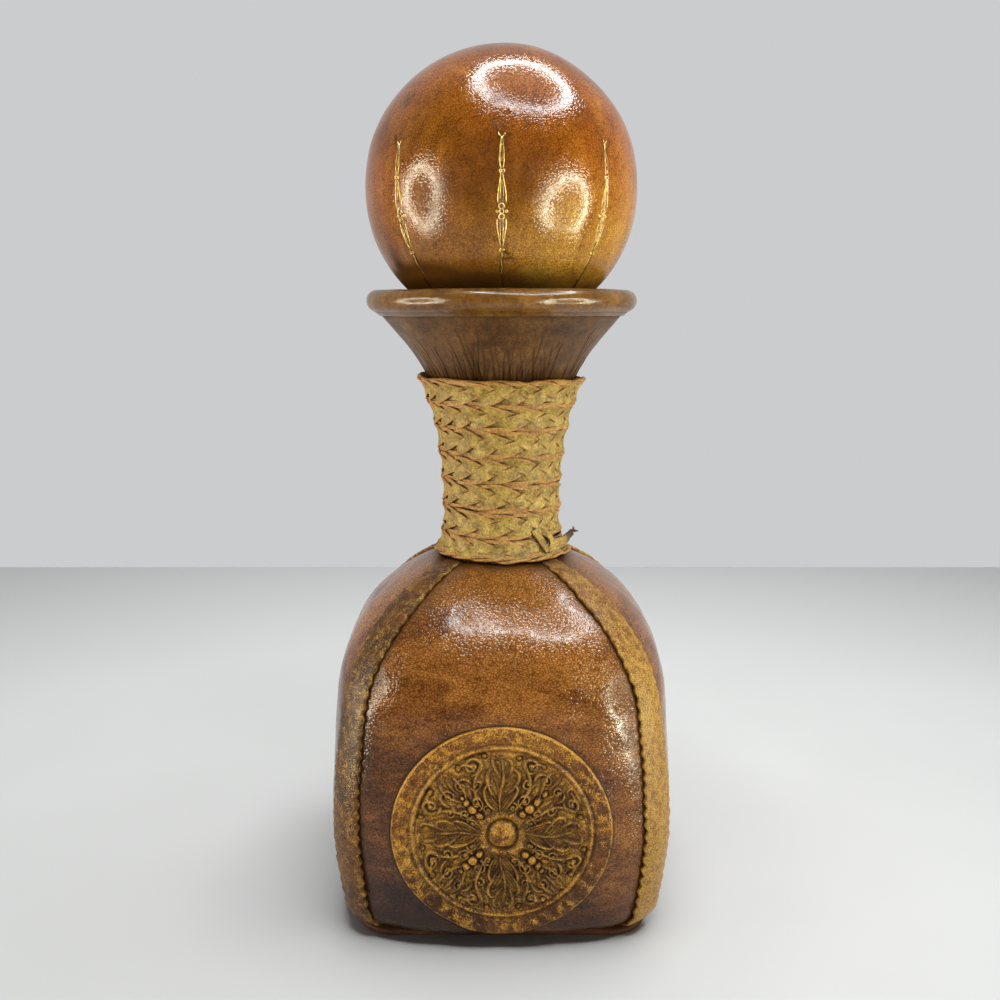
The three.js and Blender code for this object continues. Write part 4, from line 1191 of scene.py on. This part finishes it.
def make_cork():
    section = [(AXIS_RADIUS, CORK_TIP_Z), (CORK_TIP_RADIUS - 1.2, CORK_TIP_Z),
               (CORK_TIP_RADIUS - 0.35, CORK_TIP_Z + 0.4), (CORK_TIP_RADIUS, CORK_TIP_Z + 1.3)]
    for t in np.linspace(0, 1, 24)[1:]:
        section.append((lerp(CORK_TIP_RADIUS, CORK_RADIUS, t), lerp(CORK_TIP_Z + 1.2, CORK_SHOULDER_Z, t)))
    section += [(CORK_RADIUS, CORK_TOP_Z), (AXIS_RADIUS, CORK_TOP_Z)]
    r, z = np.array(section).T[..., None]
    rings = turned(r, around(96), z)
    chips = clamp(waves(91, 3.2, 30)(rings) - 0.7)
    rings = rings - outward(rings) * (0.45 * chips)[..., None]
    piece("stopper_cork", tube(rings), cork_material(), "cork", ["cork_plug"], "stopper", sharp=60)


PANELS = {"front_panel": -90, "right_panel": 0, "back_panel": 90, "left_panel": 180}
STRIPS = {"front_left": -135, "front_right": -45, "back_right": 45, "back_left": 135}
FIRST_STRIP_SEED = 11

make_bottle()
for panel, facing in PANELS.items():
    make_panel(panel, facing)
for seed, (corner, diagonal) in enumerate(STRIPS.items(), FIRST_STRIP_SEED):
    make_strip(corner, diagonal, seed)
make_sole()
make_medallion()
make_collar()
make_rim()
make_braid()
make_braid_tail()
make_ball()
make_tooling()
make_cork()
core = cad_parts["stopper_core"]
core.data.materials.clear()
core.data.materials.append(wood_material())

# Camera in metres and degrees, and the table top in millimetres
CAMERA_PLACE = (-0.0005, -0.35, 0.199)
CAMERA_DOWN = 10.57
CAMERA_LENS = 37.44
FLOOR_HALF = 535
FLOOR_CORNER = 60
FLOOR_ROLL = 20
FLOOR_BACK = 450
FLOOR_DEPTH = 400

# Light of the room in front and of the pale tent behind, and the backdrop in view
ROOM = (0.1, 0.1, 0.1)
TENT = (0.52, 0.523, 0.53)
BACKDROP = (0.6, 0.603, 0.612)


def make_camera():
    data = bpy.data.cameras.new("camera")
    data.lens = CAMERA_LENS
    data.clip_start, data.clip_end = 0.01, 50
    scene.camera = in_scene("camera", data)
    scene.camera.location = CAMERA_PLACE
    scene.camera.rotation_euler = ((90 - CAMERA_DOWN) * DEG, 0, 0)


def floor_material():
    sh = Shader("floor_cloth")
    far = sh.rise(sh.vector("LENGTH", "Value", i0=sh.place), 120, 460)
    near = sh.ramp(sh.noise(220, 3), (0.35, (0.51, 0.505, 0.49)), (0.65, (0.55, 0.545, 0.53)))
    color = sh.mix(far, near, (0.51, 0.51, 0.5))
    return sh.finish(Base_Color=color, Roughness=0.85, Normal=sh.bump(sh.noise(90, 2), 1.5))


def make_floor():
    """Pale table top with a rolled edge, whose far side is the line behind the decanter."""
    turn = np.linspace(0, math.pi / 2, 8)
    rolled = [(FLOOR_CORNER - FLOOR_ROLL * (1 - math.cos(t)), FLOOR_ROLL * (math.sin(t) - 1)) for t in turn]
    steps = [(FLOOR_CORNER, -FLOOR_DEPTH)] + rolled + [(FLOOR_CORNER - 2 * FLOOR_ROLL, 0)]
    points, faces = tube(plate(FLOOR_HALF, FLOOR_CORNER, steps))
    points = points + np.array([0, FLOOR_BACK - FLOOR_HALF, 0])
    floor = mesh_object("floor", (points, faces), floor_material())
    return floor


def ring_light(name, place, size, power, hole, spread, color):
    """Round soft light with a dark middle, turned to the ball."""
    data = bpy.data.lights.new(name, "AREA")
    data.shape = "DISK"
    data.size = size
    data.energy = power
    data.color = color
    data.spread = spread * DEG
    nodes = Nodes(data)
    spot = nodes.add("NewGeometry").outputs["Parametric"]
    from_middle = nodes.vector("DISTANCE", "Value", i0=spot, i1=(0.5, 0.5, 0))
    strength = nodes.rise(from_middle, hole * 0.78, hole, 0.03, 1)
    nodes.finish("Emission", Strength=strength)
    light = in_scene(name, data)
    light.location = place
    light.visible_camera = False
    light.rotation_euler = (Vector(place) - Vector((0, 0, BALL_Z * MM))).to_track_quat("Z", "Y").to_euler()
    return light


def flagged_off(light, thing):
    """Keeps the light off the thing, as a card between them would."""
    kept_dark = bpy.data.collections.new(light.name + "_flag")
    kept_dark.objects.link(thing)
    kept_dark.collection_objects[0].light_linking.link_state = "EXCLUDE"
    light.light_linking.receiver_collection = kept_dark


def make_world():
    """Light from a pale tent behind the decanter and a dim room in front, and a pale backdrop in view."""
    nodes = Nodes(bpy.data.worlds.new("studio"))
    way = nodes.add("SeparateXYZ", i0=nodes.add("TexCoord").outputs["Generated"])
    light = nodes.mix(nodes.rise(way.outputs["Y"], -0.25, 0.5), ROOM, TENT)
    seen = nodes.mix(nodes.add("LightPath").outputs["Is Camera Ray"], light, BACKDROP)
    scene.world = nodes.finish("Background", Color=seen)
    scene.view_settings.view_transform = "Standard"


make_camera()
floor = make_floor()
ring_light("light_top", place=(0.13, -0.06, 0.845), size=0.66, power=14, hole=0.45, spread=110,
           color=(0.95, 0.98, 1))
left = ring_light("light_left", place=(-0.417, -0.165, 0.19), size=0.33, power=2.9, hole=0.44, spread=90,
                  color=(1, 0.92, 0.7))
right = ring_light("light_right", place=(0.367, -0.256, 0.135), size=0.36, power=4.2, hole=0.44, spread=90,
                   color=(1, 0.97, 0.74))
flagged_off(left, floor)
flagged_off(right, floor)
make_world()
